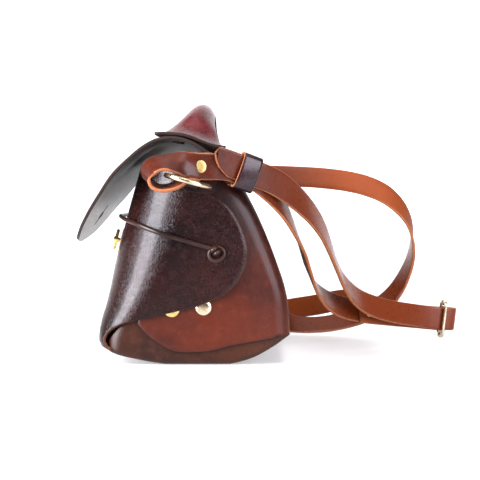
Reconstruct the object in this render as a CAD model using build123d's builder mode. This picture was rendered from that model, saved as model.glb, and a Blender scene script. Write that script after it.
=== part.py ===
"""Small leather shoulder bag with a flap, top handle, lace and a ring-mounted shoulder strap.

Units are millimetres. +X points to the back of the bag, -X to the flap's free edge, Y runs along the
bag's length and +Z is up. The origin is on the ground under the middle of the flat bottom.
"""

from build123d import *
import math
import os

os.makedirs("parts", exist_ok=True)

# ---------------------------------------------------------------- driving dimensions
HALF_LENGTH = 115.0      # outer face of an end wing, from the middle
LEATHER = 2.4            # body leather
LAYER_GAP = 0.1          # between two body layers
FLAP_LEATHER = 2.6
STRAP_WIDTH = 20.0
STRAP_LEATHER = 2.6
BACK_CORNER = 16.0       # upright corner radius at the back
END_SIGNS = (-1, 1)      # near end, far end

# Height, front face in the middle, front face beside the corner, back face, front corner radius
BODY_LEVELS = [
    (-2.0, -79.0, -76.0, 72.0, 16.0),
    (22.0, -81.0, -78.5, 72.0, 22.0),
    (50.0, -77.5, -73.0, 70.5, 36.0),
    (85.0, -71.5, -66.0, 60.0, 46.0),
    (118.0, -63.0, -57.8, 46.0, 50.0),
    (140.0, -56.5, -51.5, 34.5, 50.0),
    (158.0, -51.0, -46.5, 26.0, 50.0),
]

# Boat-shaped underside, front to flat and flat to back
KEEL_FRONT = [(-84, 36), (-81.5, 22), (-76.5, 13.5), (-68, 8.8), (-59, 6), (-36, 1.5), (-25, 0)]
KEEL_BACK = [(25, 0), (33, 0.8), (52, 6), (63, 13.5), (69.4, 22.5)]

# Free edges of the wings, as seen from the end
FRONT_LOBE = [(7, 135), (21, 125), (29, 115), (35, 103), (38, 92), (37, 79), (31, 66), (20, 55), (8, 49),
              (-7, 44), (-28, 39), (-47, 35), (-61, 32), (-70, 27)]
BACK_LOBE = [(71, 23), (47, 19), (25, 15), (9, 11), (-7, 10.4), (-18, 11), (-28, 16), (-39, 24), (-46, 32)]

# Flap, outer face from the fold to the free edge
FLAP_PROFILE = [(33.5, 142.5), (24, 152.5), (12.6, 162.5), (0, 171.6), (-8.5, 175.4), (-20, 177), (-32, 175),
                (-43, 169.4), (-54, 160.5), (-66.8, 147.7),
                (-77.3, 133.6), (-87.9, 119.7), (-97.5, 106), (-107, 93.6)]
FLAP_ROUNDING = 88.0     # length over which the free end narrows to its tip
SLOT_CENTRE = (-90.2, 116.5)
SLOT_LENGTH = 21.0
SLOT_WIDTH = 4.6
SLOT_EYE_RADIUS = 4.3

# Turn-lock on the front panel
FRONT_TILT = 14.4        # lean of the front face, degrees
LOCK_SEAT = (-69.75, 0, 92.7)
LOCK_PLATE = 0.8
TOGGLE_LENGTH = 18.0
TOGGLE_WIDTH = 5.0
TOGGLE_THICKNESS = 2.6
TOGGLE_STANDOFF = 3.9
POST_RADIUS = 1.9
TURN_CLEARANCE = 0.05

# Rings at the two ends
RING_CENTRE = (-6.0, 136.5, 142.0)
RING_RADIUS = 17.0
RING_WIRE = 2.0
RING_SLOPE = 15.6

# Side rivets
SIDE_RIVETS = [(4.7, 45.0), (-20.0, 43.6)]
SIDE_RIVET_RADIUS = 6.4
SIDE_RIVET_DOME = 1.4

# Lace: half of its route, from the near knot to beside the middle of the front
LACE_DIAMETER = 3.5
LACE_HALF = [(11, -117.3, 90.6), (-4, -117.7, 95), (-18, -117.8, 99.2), (-32, -116.4, 103.6),
             (-49, -105, 109.8), (-60.6, -86.6, 113.2), (-66, -64, 114.6), (-68.6, -40, 115.1),
             (-69.4, -14, 115)]
KNOT_CENTRE = (15.0, 116.8, 86.4)
KNOT_RADIUS = 5.4
KNOT_CORD = 1.55

# Strap centre lines: each station is a place and the direction of the strap's width there.
# Fold round a ring at the near end, from the cut end behind the rivet to the outer layer
RING_FOLD = [
    ((12, -128.0, 154), (0.05, 0, 1)),
    ((9, -128.95, 153.8), (0, 0, 1)),
    ((2.3, -129.8, 153.3), (0, 0, 1)),
    ((-3, -131.4, 150.8), (-0.05, 0.3, 0.95)),
    ((-8, -134.4, 146.4), (-0.1, 0.72, 0.68)),
    ((-12.6, -136.2, 141), (-0.12, 0.93, 0.34)),
    ((-20.5, -136.4, 137.4), (-0.15, 0.96, 0.2)),
    ((-28, -136.4, 137.2), (-0.2, 0.95, 0.25)),
    ((-33.6, -136.8, 140.2), (-0.3, 0.87, 0.4)),
    ((-36.6, -137.2, 145.4), (-0.38, 0.8, 0.47)),
    ((-35.4, -137.6, 150.8), (-0.4, 0.76, 0.51)),
    ((-30.4, -138, 154.6), (-0.35, 0.78, 0.52)),
    ((-23, -137.8, 156), (-0.25, 0.8, 0.55)),
    ((-14, -136.6, 155.6), (-0.15, 0.55, 0.82)),
    ((-6, -134.4, 154.4), (-0.05, 0.22, 0.97)),
    ((2.3, -132.8, 153.3), (0, 0, 1)),
]
SLIDER_LEAN = (0.115, 0, 0.993)

# Short strap from the ring's rivet, through the keeper, round the slider's middle bar, to its cut end
SHORT_RUN = [
    ((9, -132, 153.1), (0.14, 0, 1)),
    ((16, -130.6, 152.5), (0.26, 0, 0.96)),
    ((23, -128.9, 151.6), (0.32, 0, 0.94)),
    ((31, -126.5, 149.1), (0.34, 0, 0.94)),
    ((39, -123.9, 146.1), (0.35, 0, 0.94)),
    ((47, -120.9, 143), (0.35, 0.03, 0.94)),
    ((57, -110.8, 134.2), (0.3, 0.42, 0.85)),
    ((67, -97, 121.5), (0.15, 0.8, 0.58)),
    ((76, -82, 105.5), (0.05, 0.95, 0.3)),
    ((83.5, -67, 88.5), (-0.1, 0.98, 0.17)),
    ((90, -52, 69.5), (-0.12, 0.97, 0.2)),
    ((96.5, -38, 54.5), (-0.05, 0.93, 0.35)),
    ((106, -24, 44), (0.05, 0.78, 0.62)),
    ((119, -10, 36.5), (0.1, 0.5, 0.86)),
    ((136, 6.2, 31), (0.08, 0.36, 0.93)),
    ((156, 21, 27), (0.04, 0.28, 0.96)),
    ((176, 33, 24), (0.02, 0.2, 0.98)),
    ((196, 42.2, 21.5), (0.06, 0.1, 0.99)),
    ((208, 45.9, 20.2), SLIDER_LEAN),
    ((217, 47.1, 19.4), SLIDER_LEAN),
    ((219.6, 46.2, 19.3), SLIDER_LEAN),
    ((220.7, 44, 19.2), SLIDER_LEAN),
    ((219.6, 41.8, 19.3), SLIDER_LEAN),
    ((217, 40.9, 19.4), SLIDER_LEAN),
    ((208, 41.2, 20.2), SLIDER_LEAN),
    ((197.4, 39.2, 21.5), (0.06, 0.1, 0.99)),
    ((177.6, 30.3, 24), (0.02, 0.2, 0.98)),
    ((157.8, 18.4, 27), (0.04, 0.28, 0.96)),
    ((144.3, 8.2, 29.3), (0.07, 0.33, 0.94)),
    ((138.1, 3.3, 30.6), (0.08, 0.36, 0.93)),
]

# Long strap from its rounded tip, through keeper and slider and round behind the bag, to the far ring
LONG_RUN = [
    ((15, -138.4, 157), (0.3, 0, 0.95)),
    ((19, -136.2, 155.6), (0.32, 0, 0.95)),
    ((23.4, -133.8, 154), (0.33, 0, 0.94)),
    ((31, -129.9, 151.2), (0.34, 0, 0.94)),
    ((39, -127.3, 148.2), (0.35, 0, 0.94)),
    ((47, -124.6, 145.2), (0.35, 0.02, 0.94)),
    ((58, -117.5, 140.6), (0.36, 0.12, 0.92)),
    ((70, -106, 134), (0.36, 0.3, 0.88)),
    ((82, -92, 125.5), (0.33, 0.55, 0.76)),
    ((92.5, -78, 114.5), (0.28, 0.75, 0.6)),
    ((101, -65, 102), (0.22, 0.88, 0.42)),
    ((107.5, -53, 88), (0.15, 0.95, 0.27)),
    ((113, -43, 74.5), (0.06, 0.95, 0.3)),
    ((119.5, -33, 61), (0.02, 0.86, 0.5)),
    ((128, -22, 49.5), (0.02, 0.68, 0.73)),
    ((139, -10, 40.5), (0.02, 0.5, 0.86)),
    ((153, 1, 34), (0.02, 0.35, 0.93)),
    ((170, 13, 29), (0.01, 0.25, 0.97)),
    ((189, 25.5, 25), (0.05, 0.18, 0.98)),
    ((206, 34.4, 22), SLIDER_LEAN),
    ((217, 37.5, 20.4), SLIDER_LEAN),
    ((223, 38.9, 20), SLIDER_LEAN),
    ((226.6, 41, 19.9), SLIDER_LEAN),
    ((227.8, 44.2, 19.9), SLIDER_LEAN),
    ((226.4, 47.6, 19.9), SLIDER_LEAN),
    ((222.6, 49.9, 20), SLIDER_LEAN),
    ((217, 50.8, 20.2), SLIDER_LEAN),
    ((206, 54.4, 20.8), (0.06, -0.02, 1)),
    ((192, 62, 21.8), (0, -0.04, 1)),
    ((176, 73.5, 23.4), (0, -0.06, 1)),
    ((160, 86.5, 27), (0, -0.05, 1)),
    ((146, 98.5, 30.4), (0, 0, 1)),
    ((134, 108.5, 31.4), (0, 0.02, 1)),
    ((121, 118.5, 28.6), (0, 0, 1)),
    ((107, 129, 24.6), (0, 0, 1)),
    ((92, 138.5, 21.4), (0, 0, 1)),
    ((76, 146, 18), (0, 0, 1)),
    ((58, 150.4, 14.6), (0, 0, 1)),
    ((42, 149.6, 12.2), (0, 0, 1)),
    ((31.5, 143, 11.2), (0, 0, 1)),
    ((30, 133.6, 11), (0, 0, 1)),
    ((38, 126.4, 11), (-0.03, -0.03, 1)),
    ((51, 122.6, 11), (0.02, 0.12, 0.99)),
    ((64, 117.6, 10.6), (0.14, 0.32, 0.93)),
    ((75.5, 110.4, 9.6), (0.3, 0.52, 0.8)),
    ((87, 104, 8.4), (0.24, 0.68, 0.69)),
    ((101, 101.4, 8), (0.05, 0.76, 0.65)),
    ((117, 102.6, 9), (-0.08, 0.76, 0.65)),
    ((132, 105.6, 11.6), (-0.18, 0.72, 0.67)),
    ((146, 108.2, 15.2), (-0.28, 0.68, 0.68)),
    ((160, 110, 20.6), (-0.38, 0.66, 0.66)),
    ((172, 111.4, 28), (-0.42, 0.7, 0.6)),
    ((183, 112.8, 39), (-0.38, 0.8, 0.48)),
    ((192, 114.4, 54), (-0.28, 0.9, 0.34)),
    ((198.6, 116.2, 71), (-0.15, 0.97, 0.2)),
    ((200.6, 118, 90), (0.08, 0.98, 0.2)),
    ((197, 120, 107.5), (0.28, 0.9, 0.36)),
    ((187.5, 122.2, 122.6), (0.36, 0.7, 0.62)),
    ((174, 124.4, 134.2), (0.3, 0.46, 0.84)),
    ((157, 126.2, 141.8), (0.18, 0.25, 0.95)),
    ((137, 127.6, 146.6), (0.08, 0.1, 0.99)),
    ((114, 128.8, 149.5), (0, 0.03, 1)),
    ((90, 129.8, 151), (0, 0, 1)),
    ((64, 130.8, 152), (0, 0, 1)),
    ((40, 131.6, 152.7), (0, 0, 1)),
    ((20, 132.3, 153.1), (0, 0, 1)),
]
STRAP_RIVET = (2.3, 153.3)
STRAP_RIVET_RADIUS = 5.5

# Keeper on the strap
KEEPER_CENTRE = (39.0, -125.4, 147.15)
KEEPER_ALONG = (0.9, 0.29, -0.33)
KEEPER_UP = (0.35, 0, 0.94)
KEEPER_LENGTH = 15.0
KEEPER_LEATHER = 2.0
KEEPER_HOLE = (23.2, 7.2)

# Slider
SLIDER_CENTRE = (217.2, 44.0, 20.2)
SLIDER_HALF_WIDTH = 11.2
SLIDER_HALF_HEIGHT = 15.0
SLIDER_WIRE = 1.5
SLIDER_RIVET = (146.0, 9.5, 28.9)


def beside(points, amount):
    """The points moved to the left of their direction of travel by amount."""
    moved = []
    for index, point in enumerate(points):
        before = Vector(*points[max(index - 1, 0)])
        after = Vector(*points[min(index + 1, len(points) - 1)])
        along = (after - before).normalized()
        moved.append((point[0] - along.Y * amount, point[1] + along.X * amount))
    return moved


def keel_area(inset):
    """End view of everything above the underside, moved in by inset."""
    front_points = beside(KEEL_FRONT[:-1], inset) + [(KEEL_FRONT[-1][0], inset)]
    back_points = [(KEEL_BACK[0][0], inset)] + beside(KEEL_BACK[1:], inset)
    with BuildSketch(Plane.XZ) as area:
        with BuildLine():
            front = Spline(*front_points, tangents=[(0.15, -1), (1, 0)])
            flat = Line(front @ 1, back_points[0])
            back = Spline(*back_points, tangents=[(1, 0), (0.4, 1)])
            Polyline(back @ 1, (90, 60), (90, 200), (-120, 200), (-120, 60), front @ 0)
        make_face()
    return area.sketch


def long_prism(area, half):
    """An end-view area extruded along the bag, to half on each side of the middle."""
    return extrude(area.moved(Location((0, -half, 0))), amount=2 * half, dir=(0, 1, 0), mode=Mode.PRIVATE)


def body_section(level, inset, back_inset):
    """Near half of the bag's plan outline at one height."""
    height, middle, side, back, corner = level
    end = HALF_LENGTH - inset
    front = side + inset
    radius = corner - inset
    rear = back - back_inset
    bend = BACK_CORNER - inset
    diagonal = radius * (1 - math.sqrt(0.5))
    with BuildSketch(Plane.XY.offset(height)) as section:
        with BuildLine():
            curve = Spline(
                (middle + inset, 0),
                (front, radius - end),
                (front + diagonal, diagonal - end),
                (front + radius, -end),
                tangents=[(0, -1), (1, 0)],
            )
            wing = Line(curve @ 1, (rear - bend, -end))
            corner_bend = TangentArc(wing @ 1, (rear, bend - end), tangent=wing % 1)
            wall = Line(corner_bend @ 1, (rear, 0))
            Line(wall @ 1, curve @ 0)
        make_face()
    return section.sketch


def body_volume(inset, back_inset):
    """Solid of the whole bag, moved in by inset at the front and ends and by back_inset at the back."""
    with BuildPart() as volume:
        for level in BODY_LEVELS:
            add(body_section(level, inset, back_inset))
        loft()
        mirror(about=Plane.XZ)
        add(long_prism(keel_area(inset), HALF_LENGTH + 5), mode=Mode.INTERSECT)
    return volume.part


def side_slab(area, low, high):
    """Both end copies of an end-view area, between two distances from the middle."""
    with BuildPart() as slab:
        for start in (low, -high):
            add(extrude(area.moved(Location((0, start, 0))), amount=high - low, dir=(0, 1, 0),
                mode=Mode.PRIVATE))
    return slab.part


# ---------------------------------------------------------------- front panel
with BuildSketch(Plane.XZ) as front_area:
    with BuildLine():
        lobe = Spline(*FRONT_LOBE)
        Polyline(lobe @ 1, (-70, 5), (-110, 5), (-110, 155), (-20, 153), (-4, 150), (4.5, 143), lobe @ 0)
    make_face()

with BuildSketch(Plane.XZ) as curl_gap:
    with BuildLine():
        Polyline((-60, 31.5), (-69, 27.5), (-75, 21), (-73.5, 15), (-69.5, 12.5), (-64, 16.5),
            (-58, 28), close=True)
    make_face()

with BuildPart() as front_panel:
    add(body_volume(0, 0))
    add(body_volume(LEATHER, LEATHER), mode=Mode.SUBTRACT)
    add(long_prism(front_area.sketch, HALF_LENGTH + 5), mode=Mode.INTERSECT)
    add(side_slab(curl_gap.sketch, HALF_LENGTH - 20, HALF_LENGTH + 5), mode=Mode.SUBTRACT)
front_panel.part.label = "front_panel"

# ---------------------------------------------------------------- back panel
BACK_SHIFT = LEATHER + LAYER_GAP
with BuildSketch(Plane.XZ) as back_area:
    with BuildLine():
        lower = Spline(*BACK_LOBE)
        Polyline(lower @ 1, (-38, 50), (-30, 90), (-26, 130), (-18, 146), (-4, 148), (17, 146), (29, 139.5),
                 (90, 139.5), (90, 23), lower @ 0)
    make_face()

with BuildPart() as back_panel:
    add(body_volume(BACK_SHIFT, 0))
    add(body_volume(BACK_SHIFT + LEATHER, LEATHER), mode=Mode.SUBTRACT)
    add(long_prism(back_area.sketch, HALF_LENGTH + 5), mode=Mode.INTERSECT)
back_panel.part.label = "back_panel"

# ---------------------------------------------------------------- bottom panel
BOTTOM_END = HALF_LENGTH - 2 * BACK_SHIFT
BOTTOM_LENGTH = 139.2    # between the butt joints with the front and back panels
BOTTOM_RISE = 25.0
with BuildSketch(Plane.XZ) as bottom_band:
    add(keel_area(0))
    add(keel_area(LEATHER), mode=Mode.SUBTRACT)
    with Locations((0, BOTTOM_RISE / 2)):
        Rectangle(BOTTOM_LENGTH, BOTTOM_RISE, mode=Mode.INTERSECT)
    with Locations((66, 30)):
        Rectangle(20, 14, mode=Mode.SUBTRACT)

with BuildSketch(Plane.XZ) as bottom_wing:
    add(keel_area(0))
    with BuildLine():
        top = Spline((-57, 29), (-45, 44), (-20, 56), (20, 52), (45, 38), (64, 20))
        Polyline(top @ 1, (66, -5), (-66, -5), (-66.5, 14), top @ 0)
    make_face(mode=Mode.INTERSECT)

with BuildPart() as bottom_panel:
    add(long_prism(bottom_band.sketch, BOTTOM_END))
    add(side_slab(bottom_wing.sketch, BOTTOM_END - LEATHER, BOTTOM_END))
bottom_panel.part.label = "bottom_panel"

# ---------------------------------------------------------------- flap
FLAP_INNER = beside(FLAP_PROFILE, FLAP_LEATHER)
with BuildSketch(Plane.XZ) as flap_section:
    with BuildLine():
        outer = Spline(*FLAP_PROFILE)
        inner = Spline(*FLAP_INNER)
        Line(outer @ 0, inner @ 0)
        Line(outer @ 1, inner @ 1)
    make_face()

# Plane square to the flap's front slope, with its own X along the bag
SLOPE = Vector(FLAP_PROFILE[-1][0] - FLAP_PROFILE[9][0], 0,
    FLAP_PROFILE[-1][1] - FLAP_PROFILE[9][1]).normalized()
FLAP_PLANE = Plane(origin=(SLOT_CENTRE[0], 0, SLOT_CENTRE[1]), x_dir=(0, 1, 0),
    z_dir=SLOPE.cross(Vector(0, 1, 0)))
FLAP_TIP = Vector(FLAP_PROFILE[-1][0] - SLOT_CENTRE[0], 0, FLAP_PROFILE[-1][1] - SLOT_CENTRE[1]).dot(SLOPE)

with BuildSketch(FLAP_PLANE) as flap_corners:
    with Locations((0, FLAP_ROUNDING / 2 - FLAP_TIP)):
        Rectangle(2 * HALF_LENGTH + 10, FLAP_ROUNDING + 10)
    with Locations((0, FLAP_ROUNDING - FLAP_TIP)):
        Ellipse(HALF_LENGTH + 0.2, FLAP_ROUNDING, mode=Mode.SUBTRACT)
        Rectangle(2 * HALF_LENGTH + 20, 12, mode=Mode.SUBTRACT)

with BuildSketch(FLAP_PLANE) as slot_shape:
    SlotOverall(SLOT_LENGTH, SLOT_WIDTH, rotation=90)
    Circle(SLOT_EYE_RADIUS)

with BuildPart() as flap:
    add(long_prism(flap_section.sketch, HALF_LENGTH))
    add(flap_corners.sketch)
    extrude(amount=24, both=True, mode=Mode.SUBTRACT)
    add(slot_shape.sketch)
    extrude(amount=8, both=True, mode=Mode.SUBTRACT)
flap.part.label = "flap"

# ---------------------------------------------------------------- handle on the flap
# Distance from the middle, then the underside across the handle, front to rear
HANDLE_SECTIONS = [
    (108, [(-33, 178), (-22, 178.2), (-9, 176.6), (4, 171.6), (13, 168.6), (21.6, 167.4)]),
    (86, [(-30, 178), (-21, 178.2), (-9, 176.9), (3, 172.6), (11, 169.8), (18, 169)]),
    (70, [(-24, 182), (-17, 183.4), (-8, 182.6), (2, 179), (9, 176.4), (15, 174.6)]),
    (48, [(-14, 192.4), (-9.5, 194.8), (-4, 195.6), (2, 193.6), (7, 190.2), (10.8, 186.6)]),
    (24, [(-7, 202), (-4, 204.2), (0, 205.2), (4, 203.8), (7.4, 200.8), (9.8, 197)]),
    (0, [(-5, 204.8), (-2.4, 207.2), (0.8, 208.4), (4.2, 207.4), (7.2, 204.4), (9.4, 200.6)]),
]
HANDLE_LEATHER = 2.6
with BuildPart() as handle:
    mirrored = [(-distance, under) for distance, under in HANDLE_SECTIONS[:-1]]
    for distance, under in mirrored + HANDLE_SECTIONS[::-1]:
        over = beside(under, HANDLE_LEATHER)
        with BuildSketch(Plane.XZ.offset(-distance)):
            with BuildLine():
                Polyline(*under, *over[::-1], close=True)
            make_face()
    loft(ruled=True)
handle.part.label = "handle"

HANDLE_RIVET_X = -14.0
HANDLE_RIVET_Y = 97.0
HANDLE_RIVET_TOP = 180.3
HANDLE_RIVET_BACK = 173.6
HANDLE_RIVET_LEAN = (0.13, 0, 1)
HANDLE_RIVET_RADIUS = 4.5
HANDLE_RIVET_SHANK = 1.5
with BuildPart() as handle_rivet_caps:
    for sign in END_SIGNS:
        seat = Plane((HANDLE_RIVET_X, sign * HANDLE_RIVET_Y, HANDLE_RIVET_TOP), (0, 1, 0), HANDLE_RIVET_LEAN)
        with BuildSketch(seat):
            Circle(HANDLE_RIVET_RADIUS)
        extrude(amount=1.4)
        with BuildSketch(seat):
            Circle(HANDLE_RIVET_SHANK)
        extrude(amount=HANDLE_RIVET_BACK - HANDLE_RIVET_TOP)
handle_rivet_caps.part.label = "handle_rivet_caps"

with BuildPart() as handle_rivet_backs:
    for sign in END_SIGNS:
        seat = Plane((HANDLE_RIVET_X - 0.9, sign * HANDLE_RIVET_Y, HANDLE_RIVET_BACK), (0, 1,
            0), HANDLE_RIVET_LEAN)
        with BuildSketch(seat):
            Circle(HANDLE_RIVET_RADIUS)
        extrude(amount=-1.2)
handle_rivet_backs.part.label = "handle_rivet_backs"

# ---------------------------------------------------------------- side rivets
RIVET_SEAT = HALF_LENGTH - BACK_SHIFT
RIVET_TAIL = HALF_LENGTH - 2 * BACK_SHIFT - LEATHER
with BuildSketch(Plane.XZ) as rivet_discs:
    with Locations(*SIDE_RIVETS):
        Circle(SIDE_RIVET_RADIUS)
with BuildSketch(Plane.XZ) as rivet_pockets:
    with Locations(*SIDE_RIVETS):
        Circle(SIDE_RIVET_RADIUS + 0.2)
with BuildSketch(Plane.XZ) as rivet_shanks:
    with Locations(*SIDE_RIVETS):
        Circle(1.8)

with BuildPart() as side_rivet_caps:
    add(side_slab(rivet_discs.sketch, RIVET_SEAT, RIVET_SEAT + SIDE_RIVET_DOME))
    add(side_slab(rivet_shanks.sketch, RIVET_TAIL, RIVET_SEAT))
side_rivet_caps.part.label = "side_rivet_caps"

with BuildPart() as side_rivet_backs:
    add(side_slab(rivet_discs.sketch, RIVET_TAIL - 1.0, RIVET_TAIL))
side_rivet_backs.part.label = "side_rivet_backs"

with BuildPart() as front_panel_pocketed:
    add(front_panel.part)
    pockets = side_slab(rivet_pockets.sketch, RIVET_SEAT - 1, RIVET_SEAT + SIDE_RIVET_DOME + 0.1)
    add(pockets, mode=Mode.SUBTRACT)
front_panel_pocketed.part.label = "front_panel"


# ---------------------------------------------------------------- rings and their tabs
RING_TILT = math.radians(RING_SLOPE)
RING_LEVEL = Vector(math.cos(RING_TILT), 0, -math.sin(RING_TILT))
RING_NORMAL = Vector(math.sin(RING_TILT), 0, math.cos(RING_TILT))
TAB_HALF_WIDTH = 7.0
TAB_LEATHER = 2.0
TAB_SEAT = HALF_LENGTH + 0.1


def ring_plane(sign):
    return Plane((RING_CENTRE[0], sign * RING_CENTRE[1], RING_CENTRE[2]), (0, 1, 0), RING_NORMAL)


with BuildPart() as ring_near:
    with Locations(ring_plane(-1)):
        Torus(RING_RADIUS, RING_WIRE)
ring_near.part.label = "ring_near"

with BuildPart() as ring_far:
    with Locations(ring_plane(1)):
        Torus(RING_RADIUS, RING_WIRE)
ring_far.part.label = "ring_far"

with BuildSketch(Plane.XZ) as tab_shield:
    with BuildLine():
        Polyline((-13, 152), (-13, 140), (-9, 134.5), (11, 132.5), (15, 136), (15, 145), (9,
            152), close=True)
    make_face()
    fillet(tab_shield.vertices(), radius=1.5)


def tab_solid(sign):
    """Leather loop round a ring's inner side, with its flat tail on the end wing."""
    loop_plane = Plane((RING_CENTRE[0], 0, RING_CENTRE[2]), (0, 1, 0), RING_LEVEL)
    with BuildPart() as tab:
        with BuildSketch(loop_plane):
            with Locations((sign * 120.9, 0)):
                SlotOverall(7.6 + 2 * TAB_LEATHER, 5.1 + 2 * TAB_LEATHER)
        extrude(amount=TAB_HALF_WIDTH, both=True)
        add(side_slab(tab_shield.sketch, TAB_SEAT, TAB_SEAT + TAB_LEATHER))
        with BuildSketch(loop_plane):
            with Locations((sign * 120.9, 0)):
                SlotOverall(7.6, 5.1)
        extrude(amount=3 * TAB_HALF_WIDTH, both=True, mode=Mode.SUBTRACT)
    return tab.part.solids().sort_by(Axis.Y)[0 if sign < 0 else -1]


with BuildPart() as ring_tab_near:
    add(tab_solid(-1))
ring_tab_near.part.label = "ring_tab_near"

with BuildPart() as ring_tab_far:
    add(tab_solid(1))
ring_tab_far.part.label = "ring_tab_far"

with BuildSketch(Plane.XZ) as tab_rivet_disc:
    with Locations((4, 147.5)):
        Circle(3.6)
with BuildSketch(Plane.XZ) as tab_rivet_shank:
    with Locations((4, 147.5)):
        Circle(1.3)
with BuildPart() as ring_tab_rivets:
    add(side_slab(tab_rivet_disc.sketch, TAB_SEAT + TAB_LEATHER, TAB_SEAT + TAB_LEATHER + 1.2))
    add(side_slab(tab_rivet_shank.sketch, RIVET_SEAT - LEATHER, TAB_SEAT + TAB_LEATHER))
    add(side_slab(tab_rivet_disc.sketch, RIVET_SEAT - LEATHER - 1, RIVET_SEAT - LEATHER))
ring_tab_rivets.part.label = "ring_tab_rivets"

# ---------------------------------------------------------------- turn-lock
LOCK_LEAN = math.radians(FRONT_TILT)
LOCK_PLANE = Plane(LOCK_SEAT, (0, 1, 0), (-math.cos(LOCK_LEAN), 0, math.sin(LOCK_LEAN)))
with BuildPart() as turnlock_base:
    with BuildSketch(LOCK_PLANE.offset(0.25)):
        RectangleRounded(13, 22, 5)
        Circle(POST_RADIUS, mode=Mode.SUBTRACT)
    extrude(amount=LOCK_PLATE)
turnlock_base.part.label = "turnlock_base"

with BuildPart() as turnlock_backplate:
    with BuildSketch(LOCK_PLANE.offset(-LEATHER - 0.4)):
        RectangleRounded(11, 20, 4)
    extrude(amount=-LOCK_PLATE)
turnlock_backplate.part.label = "turnlock_backplate"

with BuildPart() as turnlock_post:
    with BuildSketch(LOCK_PLANE.offset(-LEATHER - 0.4)):
        Circle(POST_RADIUS)
    extrude(amount=LEATHER + 0.4 + TOGGLE_STANDOFF + TOGGLE_THICKNESS + 0.1)
    with BuildSketch(LOCK_PLANE.offset(TOGGLE_STANDOFF + TOGGLE_THICKNESS + 0.1)):
        Circle(POST_RADIUS + 0.5)
    extrude(amount=0.6)
turnlock_post.part.label = "turnlock_post"

with BuildPart() as turnlock_toggle:
    with BuildSketch(LOCK_PLANE.offset(TOGGLE_STANDOFF)):
        SlotOverall(TOGGLE_LENGTH, TOGGLE_WIDTH, rotation=90)
        Circle(POST_RADIUS + 1.2)
        Circle(POST_RADIUS + TURN_CLEARANCE, mode=Mode.SUBTRACT)
    extrude(amount=TOGGLE_THICKNESS)
turnlock_toggle.part.label = "turnlock_toggle"

# ---------------------------------------------------------------- lace and its knots
def across(points):
    """The points copied to the other end of the bag."""
    return [(x, -y, z) for x, y, z in points]


def bend_radii(points):
    """One radius for each inner corner: as large as its two runs allow."""
    radii = []
    for before, corner, after in zip(points, points[1:], points[2:]):
        first = Vector(*corner) - Vector(*before)
        second = Vector(*after) - Vector(*corner)
        turn = math.radians(first.get_angle(second))
        radii.append(0.45 * min(first.length, second.length) / math.tan(turn / 2))
    return radii


LACE_ROUTE = LACE_HALF + across(LACE_HALF[::-1])
LACE_RADII = bend_radii(LACE_ROUTE)
with BuildPart() as lace:
    with BuildLine() as lace_line:
        FilletPolyline(*LACE_ROUTE, radius=LACE_RADII)
    with BuildSketch(Plane(lace_line.wires()[0] @ 0, z_dir=lace_line.wires()[0] % 0)):
        Circle(LACE_DIAMETER / 2)
    sweep(path=lace_line.wires()[0])
lace.part.label = "lace"


def knot_solid(sign):
    """A ring of cord round a hole in the wing, with the lace wrapped over it."""
    centre = Vector(KNOT_CENTRE[0], sign * KNOT_CENTRE[1], KNOT_CENTRE[2])
    with BuildPart() as knot:
        with Locations(Plane(centre, (1, 0, 0), (0, 1, 0))):
            Torus(KNOT_RADIUS, KNOT_CORD)
        with Locations(Plane(centre + Vector(-1.6, sign * 2.6, 3.2), (1, 0, 0), (0.5, 0, 1))):
            Torus(2.4, 1.6)
        with Locations(Plane(centre, (1, 0, 0), (0, 1, 0))):
            Cylinder(KNOT_RADIUS, 2)
    return knot.part


with BuildPart() as lace_knot_near:
    add(knot_solid(-1))
lace_knot_near.part.label = "lace_knot_near"

with BuildPart() as lace_knot_far:
    add(knot_solid(1))
lace_knot_far.part.label = "lace_knot_far"


# ---------------------------------------------------------------- straps
def other_end(stations):
    """Strap stations copied to the other end of the bag and run the other way."""
    return [((x, -y, z), (wide_x, -wide_y, wide_z)) for (x, y, z), (wide_x, wide_y,
        wide_z) in stations[::-1]]


def strap_planes(stations):
    """A plane across the strap at each station, its X along the strap's width."""
    planes = []
    for index, (place, wide) in enumerate(stations):
        before = Vector(*stations[max(index - 1, 0)][0])
        after = Vector(*stations[min(index + 1, len(stations) - 1)][0])
        planes.append(Plane(place, wide, after - before))
    return planes


SHORT_STRAP = RING_FOLD + SHORT_RUN
LONG_STRAP = LONG_RUN + other_end(RING_FOLD)

SHORT_PLANES = strap_planes(SHORT_STRAP)
LONG_PLANES = strap_planes(LONG_STRAP)


def strap_solid(planes):
    """One stretch of strap between its first and last plane."""
    with BuildPart() as stretch:
        for station in planes:
            with BuildSketch(station):
                Rectangle(STRAP_WIDTH, STRAP_LEATHER)
        loft(ruled=True)
    return stretch.part


with BuildPart() as strap_short_fold:
    add(strap_solid(SHORT_PLANES[:17]))
strap_short_fold.part.label = "strap_short_fold"

with BuildPart() as strap_short_run:
    add(strap_solid(SHORT_PLANES[16:]))
strap_short_run.part.label = "strap_short_run"

with BuildPart() as strap_long_upper:
    add(strap_solid(LONG_PLANES[:16]))
strap_long_upper.part.label = "strap_long_upper"

with BuildPart() as strap_long_slider:
    add(strap_solid(LONG_PLANES[15:35]))
strap_long_slider.part.label = "strap_long_slider"

with BuildPart() as strap_long_ground:
    add(strap_solid(LONG_PLANES[34:52]))
strap_long_ground.part.label = "strap_long_ground"

with BuildPart() as strap_long_arch:
    add(strap_solid(LONG_PLANES[51:66]))
strap_long_arch.part.label = "strap_long_arch"

with BuildPart() as strap_long_fold:
    add(strap_solid(LONG_PLANES[65:]))
strap_long_fold.part.label = "strap_long_fold"


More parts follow.
